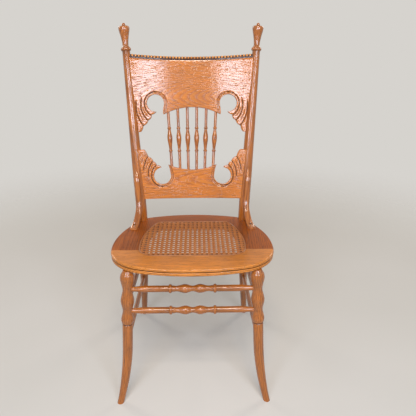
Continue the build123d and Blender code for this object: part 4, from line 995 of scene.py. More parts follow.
pearl_end = PEARL_V + crest["dish"]
pearl_reach = post_u(pearl_end) - post_radius(pearl_end) - PEARL_RADIUS - PEARL_GAP
pearl_u = np.linspace(-pearl_reach, pearl_reach, PEARLS)
pearl_centres = back_point(pearl_u, PEARL_V + dish_rise(pearl_u), bow(pearl_u, CREST_BOW))
fall, spin = np.meshgrid(np.linspace(0, np.pi, BALL_ROWS + 2)[1:-1],
                         np.linspace(0, 2 * np.pi, BALL_AROUND, endpoint=False), indexing="ij")
ball = np.stack([np.sin(fall) * np.cos(spin), np.sin(fall) * np.sin(spin), np.cos(fall)], -1)
ball = np.concatenate([ball.reshape(-1, 3), [(0, 0, 1), (0, 0, -1)]]) * PEARL_RADIUS
ball_count = len(ball)
top_row, low_row = end_faces(BALL_ROWS, BALL_AROUND)
ball_caps = np.concatenate([fan_faces(top_row, ball_count - 2), fan_faces(low_row, ball_count - 1)])
ball_sides = grid_faces(BALL_ROWS, BALL_AROUND, wrap_columns=True)
jumps = (np.arange(PEARLS) * ball_count)[:, None, None]
# Painted shade on the sides of each pearl
pearl_side_shade = smooth_step(*PEARL_SHADE, np.abs(ball[:, 0]) / PEARL_RADIUS)
print("pearls:", PEARLS)

# %% The strip and its rod
ROD_RADIUS = 3.9
ROD_ENDS, ROD_STEPS = (200.0, -20.0), 14       # the rod's arc above the strip, in degrees
STRIP_STATIONS = 90
rod_turn = np.radians(np.linspace(*ROD_ENDS, ROD_STEPS))
strip_side = np.array([
    (STRIP_HALF - STRIP_EDGE, STRIP_HIGH), (STRIP_HALF, STRIP_HIGH - STRIP_EDGE), (STRIP_HALF, STRIP_LOW),
])
strip_section = np.concatenate([
    strip_side[::-1] * (-1, 1),
    np.stack([ROD_RADIUS * np.cos(rod_turn), PEARL_V + ROD_RADIUS * np.sin(rod_turn)], 1),
    strip_side,
])
strip_u = (np.linspace(-1, 1, STRIP_STATIONS) * strip_reach)[:, None]
strip_behind = bow(strip_u, CREST_BOW, strip_section[:, 0])
strip = back_point(strip_u, strip_section[:, 1] + dish_rise(strip_u), strip_behind).reshape(-1, 3)
strip_start, strip_edges = PEARLS * ball_count, len(strip_section)
pearl_points = np.concatenate([(pearl_centres[:, None] + ball).reshape(-1, 3), strip])
# Painted shade covers the whole strip between and behind the pearls
add_piece(
    "crest_bead_moulding_turned", pearl_points,
    [(ball_sides + jumps).reshape(-1, 4), (ball_caps + jumps).reshape(-1, 3),
     grid_faces(STRIP_STATIONS, strip_edges, wrap_columns=True) + strip_start,
     end_faces(STRIP_STATIONS, strip_edges) + strip_start],
    pearl_oak, ["crest_bead_moulding"], pearl_points[:, [1, 2, 0]] + (20, -900, 7600),
    np.concatenate([np.tile(pearl_side_shade, PEARLS), np.ones(len(strip))]),
)
print("strip:", STRIP_STATIONS, "sections of", strip_edges, "points")

# %% [markdown]
# ## Hip braces
# A curved bracket stiffens each corner between post and seat. It starts as a point on the post,
# runs down it as a flat strip and swings forward into a broad toe that is screwed to the seat. It
# could be modelled by hand from a box, but both braces have to mirror each other. Its section is a
# rounded rectangle that changes along the way, so it is drawn as a stack of such sections, each set
# between an inner and an outer edge.

# %% Edges of a brace
BRACE_TOE = np.array([178.0, 32.8, SEAT_TOP])
BRACE_INNER, BRACE_OUTER, BRACE_SUNK = 17.6, 29.6, 3.0
BRACE_TOP_V, BRACE_POINT_V, BRACE_BEND_V = 174.0, 128.0, 72.0
HEEL, TOE_END, TOE_HEIGHT = 56.0, 84.0, 6.0
HEEL_WAY, TOE_WAY = (0.8, -0.6), (0.9, -0.44)
TIP_THICK, TIP_ROUND = 1.4, 1.2         # thickness of the point, and how bluntly it grows
TIP_ROWS, PLAIN_ROWS, FOOT_ROWS = 14, 8, 46
brace_origin = back_point(POST_X, 0.0)
toe_arm = BRACE_TOE - brace_origin
brace_out = unit(toe_arm - post_up * (toe_arm @ post_up))
brace_side = np.cross(post_up, brace_out)


def on_seat(reach, height=0.0):
    """A point in the brace's plane at a distance from the post's axis and a height above the seat."""
    return reach, -reach * brace_out[2] / post_up[2] + height


def at_reach(reach, v):
    """Points along the post at heights v, all at one distance from its axis."""
    return np.hstack([np.full_like(v, reach), v])


tip = np.linspace(0, 1, TIP_ROWS)[:, None]
tip_v = BRACE_TOP_V + (BRACE_POINT_V - BRACE_TOP_V) * tip
tip_growth = (BRACE_OUTER - BRACE_INNER - TIP_THICK) * np.sin(tip * np.pi / 2) ** TIP_ROUND
plain_v = np.linspace(BRACE_POINT_V, BRACE_BEND_V, PLAIN_ROWS)[1:-1, None]
foot = np.linspace(0, 1, FOOT_ROWS)[:, None]
inner_foot = bend_between((BRACE_INNER, BRACE_BEND_V), on_seat(HEEL), ((0, -1), HEEL_WAY), foot)
inner_foot -= (BRACE_SUNK, 0) * (1 - foot) ** 3
inner_edge = np.concatenate([
    at_reach(BRACE_INNER - BRACE_SUNK, tip_v), at_reach(BRACE_INNER - BRACE_SUNK, plain_v),
    inner_foot, [on_seat(HEEL)],
])
outer_edge = np.concatenate([
    np.hstack([BRACE_INNER + TIP_THICK + tip_growth, tip_v]), at_reach(BRACE_OUTER, plain_v),
    bend_between((BRACE_OUTER, BRACE_BEND_V), on_seat(TOE_END, TOE_HEIGHT), ((0, -1), TOE_WAY), foot),
    [on_seat(TOE_END)],
])
print("brace edges:", len(inner_edge), "points each")

# %% Sections of a brace
BRACE_HALF, TIP_HALF, TIP_TAPER = 8.8, 0.6, 0.9     # half widths, and how fast the point widens
TOE_FLARE, TOE_TUCK, TOE_SPREAD = 15.0, 7.0, 1.7    # the toe's edges, and how late they spread
BRACE_AROUND, SQUARENESS = 56, 3.2
rows = len(inner_edge)
foot_start = rows - FOOT_ROWS - 1
widen = np.concatenate([np.zeros((foot_start, 1)), foot ** TOE_SPREAD, [[1.0]]])
tip_half = TIP_HALF + (BRACE_HALF - TIP_HALF) * np.sin(tip * np.pi / 2) ** TIP_TAPER
half_width = np.concatenate([tip_half, np.full((rows - TIP_ROWS, 1), BRACE_HALF)])
side_high, side_low = half_width + TOE_FLARE * widen, -half_width + TOE_TUCK * widen
angle = np.linspace(0, 2 * np.pi, BRACE_AROUND, endpoint=False)
across = np.sign(np.cos(angle)) * np.abs(np.cos(angle)) ** (2 / SQUARENESS)
along = np.sign(np.sin(angle)) * np.abs(np.sin(angle)) ** (2 / SQUARENESS)
middle, reach = (inner_edge + outer_edge) / 2, (outer_edge - inner_edge) / 2
flat = middle[:, None] + across[:, None] * reach[:, None]
side = (side_high + side_low) / 2 + along * (side_high - side_low) / 2
brace = brace_origin + flat[..., :1] * brace_out + flat[..., 1:] * post_up + side[..., None] * brace_side
brace[-1, :, 2] = SEAT_TOP
brace[..., 2] = np.maximum(brace[..., 2], SEAT_TOP)
print("brace:", rows, "sections of", BRACE_AROUND, "points")

# %% Both braces
SCREW_REACH, SCREW_SIDE, SCREW_SEAT, SCREW_HEAD = 66.0, 9.5, 455.0, 4.2
DISH_FLOOR, DISH_RIM = 0.5, 1.5         # room round the screw's head, at the foot and the top of its dish
TIMBER_HALF = 6.0                       # half the thickness of a brace, in its timber
screw_foot = brace_origin + brace_out * SCREW_REACH + brace_side * SCREW_SIDE
screw_place = np.array([*screw_foot[:2], SCREW_SEAT])
from_screw = np.linalg.norm(brace[..., :2] - screw_place[:2], axis=-1)
kept = smooth_step(SCREW_HEAD + DISH_FLOOR, SCREW_HEAD + DISH_RIM, from_screw)
above = np.maximum(brace[..., 2] - SCREW_SEAT, 0.0)
brace[..., 2] -= above * (1 - kept)
brace_run = distance_along(middle)[:, None]
brace_timber = np.stack(np.broadcast_arrays(side, across * TIMBER_HALF, brace_run), -1)
brace_faces = [grid_faces(rows, BRACE_AROUND, wrap_columns=True), end_faces(rows, BRACE_AROUND)]
for side_name, flip, shift in (("right", np.ones(3), (30, 10, 9000)), ("left", MIRROR, (-30, 4, 9300))):
    add_piece(f"hip_brace_{side_name}_shaped", brace.reshape(-1, 3) * flip, brace_faces, turned_oak,
              [f"hip_brace_{side_name}"], brace_timber.reshape(-1, 3) + shift)
print("brace screws sit at", screw_place.round(1))

# %% [markdown]
# ## Seat frame
# Four moulded rails make the seat frame: the curved front, two sides and the back. A cutter
# ran round the outside and cut a bead, a cove and a rounded upper edge; inside, the wood is grooved
# for the cane. A bevelled curve would give the edge, but not the joints. So each rail is a closed
# section carried along the seat, and each section lies between one point of the cane's outline and
# one of the seat's. The points are paired by distance along the rail, so that the first and last
# sections fall exactly in the joints.

# %% Outlines made of circles
OUTLINE_SPACING, FEWEST = 2.0, 4        # distance between points, and the fewest on one stretch


def meeting(centre_a, radius_a, centre_b, radius_b):
    """The point to the right of two centres at the given distances from them."""
    gap = centre_b - centre_a
    span = np.linalg.norm(gap)
    run = (span ** 2 + radius_a ** 2 - radius_b ** 2) / (2 * span)
    rise = sqrt(radius_a ** 2 - run ** 2)
    sideways = np.array([gap[1], -gap[0]]) / span
    found = [centre_a + unit(gap) * run + sign * rise * sideways for sign in (1, -1)]
    return max(found, key=lambda point: point[0])


def rounded(circles, fillets):
    """The right half of an outline where big circles overlap, front to back, with rounded corners.

    Returns points and outward normals. A corner's small circle touches both big ones from inside,
    so its centre is their radius less its own from each big centre.
    """
    stretches, last = [], -np.pi / 2
    for (centre_a, radius_a), (centre_b, radius_b), corner in zip(circles, circles[1:], fillets):
        hub = meeting(centre_a, radius_a - corner, centre_b, radius_b - corner)
        angle_a, angle_b = (np.arctan2(*(hub - centre)[::-1]) for centre in (centre_a, centre_b))
        stretches += [(centre_a, radius_a, last, angle_a), (hub, corner, angle_a, angle_b)]
        last = angle_b
    stretches.append((*circles[-1], last, np.pi / 2))
    points, normals = [], []
    for centre, radius, first, final in stretches:
        count = max(FEWEST, int(radius * abs(final - first) / OUTLINE_SPACING))
        angle = np.linspace(first, final, count)[:-1]
        normals.append(np.stack([np.cos(angle), np.sin(angle)], 1))
        points.append(centre + radius * normals[-1])
    end = circles[-1][0] + (0, circles[-1][1])
    return np.concatenate(points + [[end]]), np.concatenate(normals + [[(0.0, 1.0)]])


print("points on an outline lie about", OUTLINE_SPACING, "mm apart")


# %% A circle through three points
def circle_through(a, b, c):
    """Centre and radius of the circle through three points."""
    a, b, c = np.array(a), np.array(b), np.array(c)
    sides = 2 * np.array([b - a, c - a])
    centre = np.linalg.solve(sides, [b @ b - a @ a, c @ c - a @ a])
    return centre, np.linalg.norm(a - centre)


print("circle through three corners of a unit square:", circle_through((0, 0), (1, 0), (1, 1)))

# %% Outlines of seat and cane
SEAT_HALF, SEAT_FRONT_Y, SEAT_BACK_Y, SEAT_WIDEST_Y = 239.5, -254.2, 154.3, -94.2
FRONT_RADIUS, SIDE_RADIUS, BACK_RADIUS, CORNER_RADIUS, BACK_ROUND = 549.0, 330.0, 467.0, 125.0, 15.0
CANE_FRONT_Y, CANE_BACK_Y, CANE_FRONT_X, CANE_BACK_X = -163.2, 87.8, 148.5, 114.0
CANE_WIDEST, CANE_FRONT_ROUND, CANE_BACK_ROUND = (156.6, -85.7), 44.0, 24.0
FAR = 1e6                # a straight side is treated as part of a huge circle

seat_outline = rounded(
    [(np.array([0, SEAT_FRONT_Y + FRONT_RADIUS]), FRONT_RADIUS),
     (np.array([SEAT_HALF - SIDE_RADIUS, SEAT_WIDEST_Y]), SIDE_RADIUS),
     (np.array([0, SEAT_BACK_Y - BACK_RADIUS]), BACK_RADIUS)],
    (CORNER_RADIUS, BACK_ROUND),
)
cane_outline = rounded(
    [(np.array([0, CANE_FRONT_Y + FAR]), FAR),
     circle_through((CANE_FRONT_X, CANE_FRONT_Y), CANE_WIDEST, (CANE_BACK_X, CANE_BACK_Y)),
     (np.array([0, CANE_BACK_Y - FAR]), FAR)],
    (CANE_FRONT_ROUND, CANE_BACK_ROUND),
)
print("points a side:", len(seat_outline[0]), "on the seat,", len(cane_outline[0]), "on the cane")

# %% The moulded section
BEAD_TOP, BEAD_INSET, BEAD_ROUND = 435.8, 1.2, 3.6
COVE_TOP, COVE_INSET, COVE_ROUND, COVE_STEP, TOP_ROUND = 437.8, 5.0, 2.5, 0.2, 5.0
GROOVE_HALF, GROOVE_FLOOR, REBATE_FLOOR, OPENING = 2.2, 443.0, 445.4, 15.2
LIP = 0.5
# How dark painted shade makes the cove
COVE_SHADE = 0.55


def corner_arc(centre, radius, first, last, count=6):
    """Points of a rounded edge as (inset, height)."""
    angle = np.radians(np.linspace(first, last, count))
    return np.stack([centre[0] - radius * np.cos(angle), centre[1] + radius * np.sin(angle)], 1)


outer_profile = np.concatenate([
    corner_arc((BEAD_INSET + BEAD_ROUND, SEAT_BOTTOM + BEAD_ROUND), BEAD_ROUND, -90, 0, 8),
    corner_arc((BEAD_INSET + BEAD_ROUND, BEAD_TOP - BEAD_ROUND), BEAD_ROUND, 0, 90, 8),
    [(COVE_INSET, BEAD_TOP + COVE_STEP), (COVE_INSET, COVE_TOP - COVE_STEP)],
    corner_arc((COVE_ROUND, COVE_TOP + COVE_ROUND), COVE_ROUND, -90, 0),
    corner_arc((TOP_ROUND, SEAT_TOP - TOP_ROUND), TOP_ROUND, 0, 90, 9),
])
# Painted shade starts 2 mm below the bead's top and ends 1 mm above the cove
outer_shade = np.interp(outer_profile[:, 1], (BEAD_TOP - 2, BEAD_TOP, COVE_TOP, COVE_TOP + 1),
                        (0, COVE_SHADE, COVE_SHADE, 0))
# The groove for the reed, the ledge under the cane and the opening: inset, height and painted shade
inner_profile = np.array([
    (GROOVE_HALF + LIP, SEAT_TOP, 0.3), (GROOVE_HALF, SEAT_TOP - LIP, 0.8),
    (GROOVE_HALF, GROOVE_FLOOR, 0.8), (-GROOVE_HALF, GROOVE_FLOOR, 0.8),
    (-GROOVE_HALF, REBATE_FLOOR, 0.9), (-OPENING + LIP, REBATE_FLOOR, 0.9),
    (-OPENING, REBATE_FLOOR - LIP, 0.9), (-OPENING, SEAT_BOTTOM + LIP, 0.6),
    (-OPENING + LIP, SEAT_BOTTOM, 0.0),
])
rail_height = np.concatenate([outer_profile[:, 1], inner_profile[:, 1]])
rail_shade = np.concatenate([outer_shade, inner_profile[:, 2]])
print("rail section:", len(rail_height), "points")

# %% Stretches of an outline
JOINT_Y, BACK_JOINT_SLOPE = -126.7, 0.545


def stretch(outline, low, high, count):
    """Evenly spaced points and normals of an outline between two of its places."""
    run = distance_along(outline[0])
    ends = np.interp((low, high), np.arange(len(run)), run)
    at = np.linspace(*ends, count)
    points, normals = (np.stack([np.interp(at, run, column) for column in part.T], 1) for part in outline)
    return points, unit(normals)


def crossing(value):
    """The last place, as a fractional point number, where a value changes sign."""
    number = np.flatnonzero(np.sign(value[:-1]) != np.sign(value[1:]))[-1]
    return number + value[number] / (value[number] - value[number + 1])


def joint_places(outline):
    """Where the front joint and the back joint cross an outline, and where it ends."""
    x, y = outline[0].T
    back_line = CANE_BACK_X + (y - CANE_BACK_Y) * BACK_JOINT_SLOPE
    return crossing(y - JOINT_Y), crossing(x - back_line), len(x) - 1


def both_sides(part):
    """A half outline that starts on the middle line, joined with its mirror image."""
    return tuple(np.concatenate([values[:0:-1] * (-1, 1), values]) for values in part)


outlines = (seat_outline, cane_outline)
joints = [joint_places(outline) for outline in outlines]
print("joints lie at points", [round(float(place), 1) for place in joints[0]], "of the seat's outline")

# %% Four rails
FRONT_ROWS, SIDE_ROWS, BACK_ROWS = 110, 100, 60
ACROSS_GRAIN, ALONG_GRAIN = [2, 1, 0], [2, 0, 1]    # which way the timber lies: across the seat or along it


def rail(name, parts, material, grain_axis, shift):
    """Closed sections between paired points; insets are measured square to each outline."""
    (outer, outer_normal), (inner, inner_normal) = parts
    way = unit(outer - inner)
    outer_run = outer_profile[:, 0] / np.sum(way * outer_normal, 1)[:, None]
    inner_run = inner_profile[:, 0] / np.sum(way * inner_normal, 1)[:, None]
    flat = np.concatenate([
        outer[:, None] - outer_run[..., None] * way[:, None],
        inner[:, None] + inner_run[..., None] * way[:, None],
    ], 1)
    rows, columns = flat.shape[:2]
    height = np.broadcast_to(rail_height[:, None], (rows, columns, 1))
    points = np.concatenate([flat, height], -1).reshape(-1, 3)
    add_piece(f"{name}_moulded", points,
              [grid_faces(rows, columns, wrap_columns=True), end_faces(rows, columns)], material, [name],
              points[:, grain_axis] + shift, np.tile(rail_shade, rows))


paired = list(zip(outlines, joints))
front_parts = [both_sides(stretch(line, 0, ends[0], FRONT_ROWS)) for line, ends in paired]
rail("seat_front_rail", front_parts, lit_front_rail_oak, ACROSS_GRAIN, (-430, 230, 0))
back_parts = [both_sides(stretch(line, ends[2], ends[1], BACK_ROWS)) for line, ends in paired]
rail("seat_back_rail", back_parts, shaded_side_rail_oak, ACROSS_GRAIN, (-420, -90, 500))
side_parts = [stretch(line, *ends[:2], SIDE_ROWS) for line, ends in paired]
for side_name, flip, shift in (("right", (1, 1), (-430, -190, 700)), ("left", (-1, 1), (-425, 195, 1200))):
    flipped_parts = [tuple(values * flip for values in part) for part in side_parts]
    rail(f"seat_side_rail_{side_name}", flipped_parts, shaded_side_rail_oak, ALONG_GRAIN, shift)
print("seat rails: 4, with", FRONT_ROWS * 2 - 1, "sections in front")

# %% [markdown]
# ## Cane seat
# The panel is six-way cane: pairs of strands run both ways, and single strands cross them on both
# diagonals, leaving eight-sided holes. A picture with holes would look flat in raking light, so every
# strand is real here: a thin ribbon with a rounded top that rises over and dips under the others.
# The height along a strand is a wave in step with the crossings. All strands of one direction are
# worked out together as one array.

# %% Cane and reed materials
STRAW_SHADE = "2e1608"         # painted shade on the sides and underside of a strand, and low on the reed


def straw(name, tones, roughness, fleck):
    """Peeled cane or reed: a shiny skin with fine lines and darker flecks along each strand.

    The lines are 0.4 mm wide and 25 mm long, and the patches about 30 mm across.
    """
    material, tree, shader = new_material(name)
    grain = add_node(tree, "ShaderNodeAttribute", {"attribute_name": "grain"}).outputs["Vector"]
    stain_and_shade = add_node(tree, "ShaderNodeAttribute", {"attribute_name": "stain_and_shade"}).outputs["Fac"]
    line_place = add_node(tree, "ShaderNodeMapping", None,
                          {"Vector": grain, "Scale": scale_of(0.4, 0.4, 25)})
    lines = add_node(tree, "ShaderNodeTexNoise", None,
                     {"Vector": line_place.outputs[0], "Scale": 1.0, "Detail": 2.0, "Roughness": 0.6})
    patches = add_node(tree, "ShaderNodeTexNoise", None,
                       {"Vector": grain, "Scale": scale_of(30)[0], "Detail": 3.0})
    mixed = add_node(tree, "ShaderNodeMath", {"operation": "MULTIPLY_ADD"},
                     {0: lines.outputs["Fac"], 1: fleck, 2: patches.outputs["Fac"]})
    colour = add_node(tree, "ShaderNodeValToRGB", None, {"Fac": mixed.outputs[0]},
                      tuple(zip((0.35, 0.62, 0.95), tones)))
    # Painted shade mixed in by the per-point darkness note
    shaded = add_node(tree, "ShaderNodeMix", {"data_type": "RGBA"},
                    {"Factor": stain_and_shade, 6: colour.outputs["Color"], 7: linear(STRAW_SHADE)})
    bump = add_node(tree, "ShaderNodeBump", None,
                    {"Height": lines.outputs["Fac"], "Strength": 0.3, "Distance": 0.0002})
    fill_inputs(tree, shader,
                {"Base Color": shaded.outputs[2], "Normal": bump.outputs[0], "Roughness": roughness})
    return material


cane_skin = straw("varnished_cane", ("763a12", "ab6127", "c17d39"), 0.45, 0.4)
reed_skin = straw("varnished_reed", ("6e3b1c", "955a30", "a86c3c"), 0.3, 0.5)
print("straw materials:", cane_skin.name, reed_skin.name)

# %% Ends of the strands
CANE_Z, LATTICE_Y = 445.9, -30.7        # LATTICE_Y: middle of one row of holes
cane_loop, cane_normals = (np.concatenate([part, part[-2:0:-1] * (-1, 1)]) for part in cane_outline)


def strand_ends(way, normal, offsets):
    """First and last place along each strand: where its line crosses the cane's outline."""
    loop = cane_loop - (0, LATTICE_Y)
    side, along = (loop @ normal)[None] - offsets[:, None], loop @ way
    next_side, next_along = np.roll(side, -1, 1), np.roll(along, -1)
    share = side / np.where(side == next_side, 1.0, side - next_side)
    place = along + share * (next_along - along)
    crossed = np.sign(side) != np.sign(next_side)
    return np.where(crossed, place, np.inf).min(1), np.where(crossed, place, -np.inf).max(1)


print("the cane's outline has", len(cane_loop), "points")

# %% Strands of one direction
STRAND_HALF, STRAND_THICK, STATION = 1.5, 1.8, 3.0
SHORTEST = 4.0                  # a strand shorter than this is left out
STRAND_CREASE = 80.0            # only edges sharper than this stay sharp
TIMBER_SPREAD = 3               # in their grain, strands lie this many times further apart
# Rounded top and flat underside: sideways share, upward share and painted shade
strand_section = np.array([(-1, -0.3, 0.95), (-0.75, 0.3, 0.2), (0, 0.5, 0.0), (0.75, 0.3, 0.2),
                           (1, -0.3, 0.95), (0, -0.5, 1.0)])


def strands(name, way, offsets, height):
    """Ribbons along one direction, cut off where they meet the cane's outline.

    way is the direction, offsets the distance of each strand from the lattice's middle, and height
    gives the rise at points of the lattice for each strand.
    """
    way = unit(way)
    normal = np.array([-way[1], way[0]])
    first, last = strand_ends(way, normal, offsets)
    chosen = np.flatnonzero(last - first > SHORTEST)
    offsets, first, last = offsets[chosen], first[chosen], last[chosen]
    number, count, columns = len(chosen), int((last - first).max() / STATION), len(strand_section)
    run = first[:, None] + (last - first)[:, None] * np.linspace(0, 1, count)
    middle = run[..., None] * way + offsets[:, None, None] * normal
    across, upward, stain_and_shade = strand_section.T
    flat = middle[:, :, None] + (across[:, None] * STRAND_HALF) * normal
    z = CANE_Z + height(middle, chosen[:, None])[..., None] + upward * STRAND_THICK
    points = np.concatenate([flat + (0, LATTICE_Y), z[..., None]], -1)
    jump = (np.arange(number) * count * columns)[:, None, None]
    sides, caps = grid_faces(count, columns, wrap_columns=True) + jump, end_faces(count, columns) + jump
    timber = np.stack(np.broadcast_arrays(
        across * STRAND_HALF + offsets[:, None, None] * TIMBER_SPREAD, z - CANE_Z, run[..., None]), -1)
    add_piece(name, points.reshape(-1, 3), [sides.reshape(-1, 4), caps.reshape(-1, columns)], cane_skin,
              ["cane_panel"], timber.reshape(-1, 3), np.tile(stain_and_shade, number * count),
              crease=STRAND_CREASE)
    print(name, "strands:", number)


print("a strand's section has", len(strand_section), "points")

# %% The weave
PITCH, PAIR = 14.0, 1.6         # PAIR: from a pair's middle to each of its strands
RISE, PAIR_RISE = 0.85, 0.5
PAIRS, DIAGONALS = 12, 26       # more than enough on either side of the middle; the rest are left out


def pair_places():
    """Offsets of strands in pairs: each pair half a pitch from a row of holes."""
    pairs = (np.arange(-PAIRS, PAIRS) + 0.5) * PITCH
    return (pairs[:, None] + np.array([-PAIR, PAIR])).ravel()


def over_under(distance, sign):
    """Rise of one strand of a pair where it crosses a pair: over one strand and under the other."""
    to_pair = (distance / PITCH - np.floor(distance / PITCH) - 0.5) * PITCH
    return sign * PAIR_RISE * np.sin(np.pi * to_pair / (2 * PAIR)) * (np.abs(to_pair) < 2 * PAIR)


def diagonal_wave(place):
    """Over the pairs of one direction and under those of the other, as a cosine."""
    return RISE * np.cos(2 * np.pi * (place[..., 0] / PITCH - 0.5))


diagonals = (np.arange(-DIAGONALS, DIAGONALS) + 0.5) * PITCH / sqrt(2)
strands("cane_uprights", (0.0, 1.0), pair_places(), lambda at, n: over_under(at[..., 1], 1 - n % 2 * 2))
strands("cane_crosswise", (1.0, 0.0), pair_places(), lambda at, n: over_under(at[..., 0], n % 2 * 2 - 1))
strands("cane_diagonals_rising", (1.0, 1.0), diagonals, lambda at, n: diagonal_wave(at))
strands("cane_diagonals_falling", (1.0, -1.0), diagonals, lambda at, n: -diagonal_wave(at))
print("holes are", PITCH, "mm apart")

# %% [markdown]
# ## Reed
# A split reed, glued and tapped into the groove, holds the edge of the cane and hides the ends of the
# strands. A curve with a bevel could draw it, but its joint with the groove has to be exact, so
# the same outline and normals that shaped the rails carry a small domed section all the way round.

# %% Reed in the groove
REED_HALF, REED_LOW, REED_TOP, REED_DOME = 2.1, 443.2, 447.8, 1.6
REED_SHADE_FULL, REED_SHADE_NONE = 445.8, 447.0    # painted shade in full up to the first height, none above the second
dome = np.radians(np.linspace(0, 180, 9))
reed_section = np.concatenate([
    np.stack([REED_HALF * np.cos(dome), REED_TOP - REED_DOME + REED_DOME * np.sin(dome)], 1),
    [(-REED_HALF, REED_LOW), (REED_HALF, REED_LOW)],
])
reed_flat = cane_loop[:, None] + reed_section[:, :1] * cane_normals[:, None]
reed_height = np.broadcast_to(reed_section[:, 1:], reed_flat.shape[:2] + (1,))
reed = np.concatenate([reed_flat, reed_height], -1)
reed_timber = np.stack(np.broadcast_arrays(*reed_section.T, distance_along(cane_loop)[:, None]), -1)
reed_shade = np.interp(reed_section[:, 1], (REED_SHADE_FULL, REED_SHADE_NONE), (0.8, 0.0))
add_piece(
    "cane_spline_split", reed.reshape(-1, 3),
    [grid_faces(len(reed), len(reed_section), wrap_rows=True, wrap_columns=True)],
    reed_skin, ["cane_spline"], reed_timber.reshape(-1, 3), np.tile(reed_shade, len(reed)),
)
print("reed:", round(float(distance_along(cane_loop)[-1])), "mm long")

# %% [markdown]
# ## Screws, bolts and dowels
# A slotted screw holds the toe of each brace and a bolt head shows behind each post. A slotted head
# is a low dome with a straight cut across it. The cut could be made with a Boolean, but that leaves
# ragged faces on so small a piece: here the grid of the dome gets two rows at each wall of the
# slot, one up on the dome and one down on the slot's floor. The dowels are hidden in their joints, so
# the solid model's own pins stay and only get a wood.

# %% Steel and birch
# Old steel browned by damp: a dull metal with lighter rubbed spots of about a millimetre
steel, tree, shader = new_material("browned_screw_steel")
place = add_node(tree, "ShaderNodeTexCoord").outputs["Object"]
tarnish = add_node(tree, "ShaderNodeTexNoise", None,
                   {"Vector": place, "Scale": scale_of(1.1)[0], "Detail": 4.0}).outputs["Fac"]
metal = add_node(tree, "ShaderNodeValToRGB", None, {"Fac": tarnish},
                 ((0.35, "4a3a2c"), (0.55, "7d6a55"), (0.75, "a8977f")))
rough = add_node(tree, "ShaderNodeMapRange", None, {"Value": tarnish, "To Min": 0.55, "To Max": 0.3})
fill_inputs(tree, shader,
            {"Base Color": metal.outputs["Color"], "Roughness": rough.outputs[0], "Metallic": 1.0})

# Bare birch: pale, dull and nearly plain, with fibres about a millimetre wide
birch, tree, shader = new_material("birch_dowel")
place = add_node(tree, "ShaderNodeTexCoord").outputs["Object"]
fibre_place = add_node(tree, "ShaderNodeMapping", None, {"Vector": place, "Scale": scale_of(16, 1.1, 1.1)})
fibre = add_node(tree, "ShaderNodeTexNoise", None,
                 {"Vector": fibre_place.outputs[0], "Scale": 1.0, "Detail": 3.0})
wood = add_node(tree, "ShaderNodeValToRGB", None, {"Fac": fibre.outputs["Fac"]},
                ((0.3, "c9a87c"), (0.7, "e4cba4")))
fill_inputs(tree, shader, {"Base Color": wood.outputs["Color"], "Roughness": 0.6})
for name in ("seat_dowels", "back_dowels", "brace_dowels"):
    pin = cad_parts[name]
    pin.data.materials.clear()
    pin.data.materials.append(birch)
print("dowels keep the solid model's pins")

# %% Slotted heads
HEAD_COLUMNS, HEAD_ROWS = 25, 9         # points along the slot, and rows on each side of it
SLOT_WIDTH, SLOT_DEPTH = 0.13, 0.45     # half width as a share of the radius, depth of the height
DOME_DROP, HEAD_EDGE = 0.45, 0.995      # how far the dome falls to its edge, and where its rows end


def slotted(radius, height, shank, length, up, slot_way):
    """A domed head with a slot, and its shank, as points around the origin and faces.

    Across the slot, rows lie at x; along it, y = share * sqrt(radius^2 - x^2). The dome's height is
    height * (1 - DOME_DROP * (distance / radius)^2), less the slot's depth between its two walls.
    """
    slot_half = radius * SLOT_WIDTH
    outer = np.linspace(slot_half, radius * HEAD_EDGE, HEAD_ROWS)
    x = np.concatenate([-outer[::-1], [-slot_half, slot_half], outer])[:, None]
    y = np.linspace(-1, 1, HEAD_COLUMNS) * np.sqrt(radius ** 2 - x ** 2)
    dome = height * (1 - DOME_DROP * (x ** 2 + y ** 2) / radius ** 2)
    dome[HEAD_ROWS:HEAD_ROWS + 2] -= height * SLOT_DEPTH
    top = np.stack([np.broadcast_to(x, y.shape), y, dome], -1)
    rows = len(x)
    numbers = np.arange(rows * HEAD_COLUMNS).reshape(rows, HEAD_COLUMNS)
    rim = np.concatenate([numbers[0], numbers[1:-1, -1], numbers[-1, ::-1], numbers[-2:0:-1, 0]])
    top = top.reshape(-1, 3)
    base = top[rim] * (1, 1, 0)
    turn = np.arctan2(base[:, 1], base[:, 0])
    neck = np.stack([shank * np.cos(turn), shank * np.sin(turn), np.zeros(len(turn))], 1)
    points = np.concatenate([top, base, neck, neck - (0, 0, length), [(0, 0, -length)]])
    rings = [rim] + [np.arange(len(rim)) + len(top) + level * len(rim) for level in range(3)]
    walls = [np.stack([a, np.roll(a, -1), np.roll(b, -1), b], 1) for a, b in zip(rings, rings[1:])]
    faces = [grid_faces(rows, HEAD_COLUMNS), np.concatenate(walls), fan_faces(rings[-1], len(points) - 1)]
    up, slot_way = unit(up), unit(slot_way)
    return points @ np.stack([np.cross(slot_way, up), slot_way, up]), faces


print("a slotted head has", (2 * HEAD_ROWS + 2) * HEAD_COLUMNS, "points on its dome")

# %% Screws and bolts
SCREW_HEIGHT, SCREW_SHANK, SCREW_BITE = 2.4, 2.2, 13.0
SCREW_SLOT = (0.8, 0.6, 0.0)
BOLT_HEAD, BOLT_HEIGHT, BOLT_SHANK, BOLT_BITE, BOLT_SET, BOLT_Z = 6.5, 3.0, 3.2, 42.0, 13.5, 434.0
BOLT_WAY = unit((-0.62, -0.78, 0.0))


def fasteners(name, node_name, seat, head):
    """A head and its mirror image on the other side of the chair, as one piece."""
    points, faces = head
    points = points + seat
    add_piece(name, np.concatenate([points, points * MIRROR]),
              [np.concatenate([block, block + len(points)]) for block in faces],
              steel, [node_name], crease=30.0)


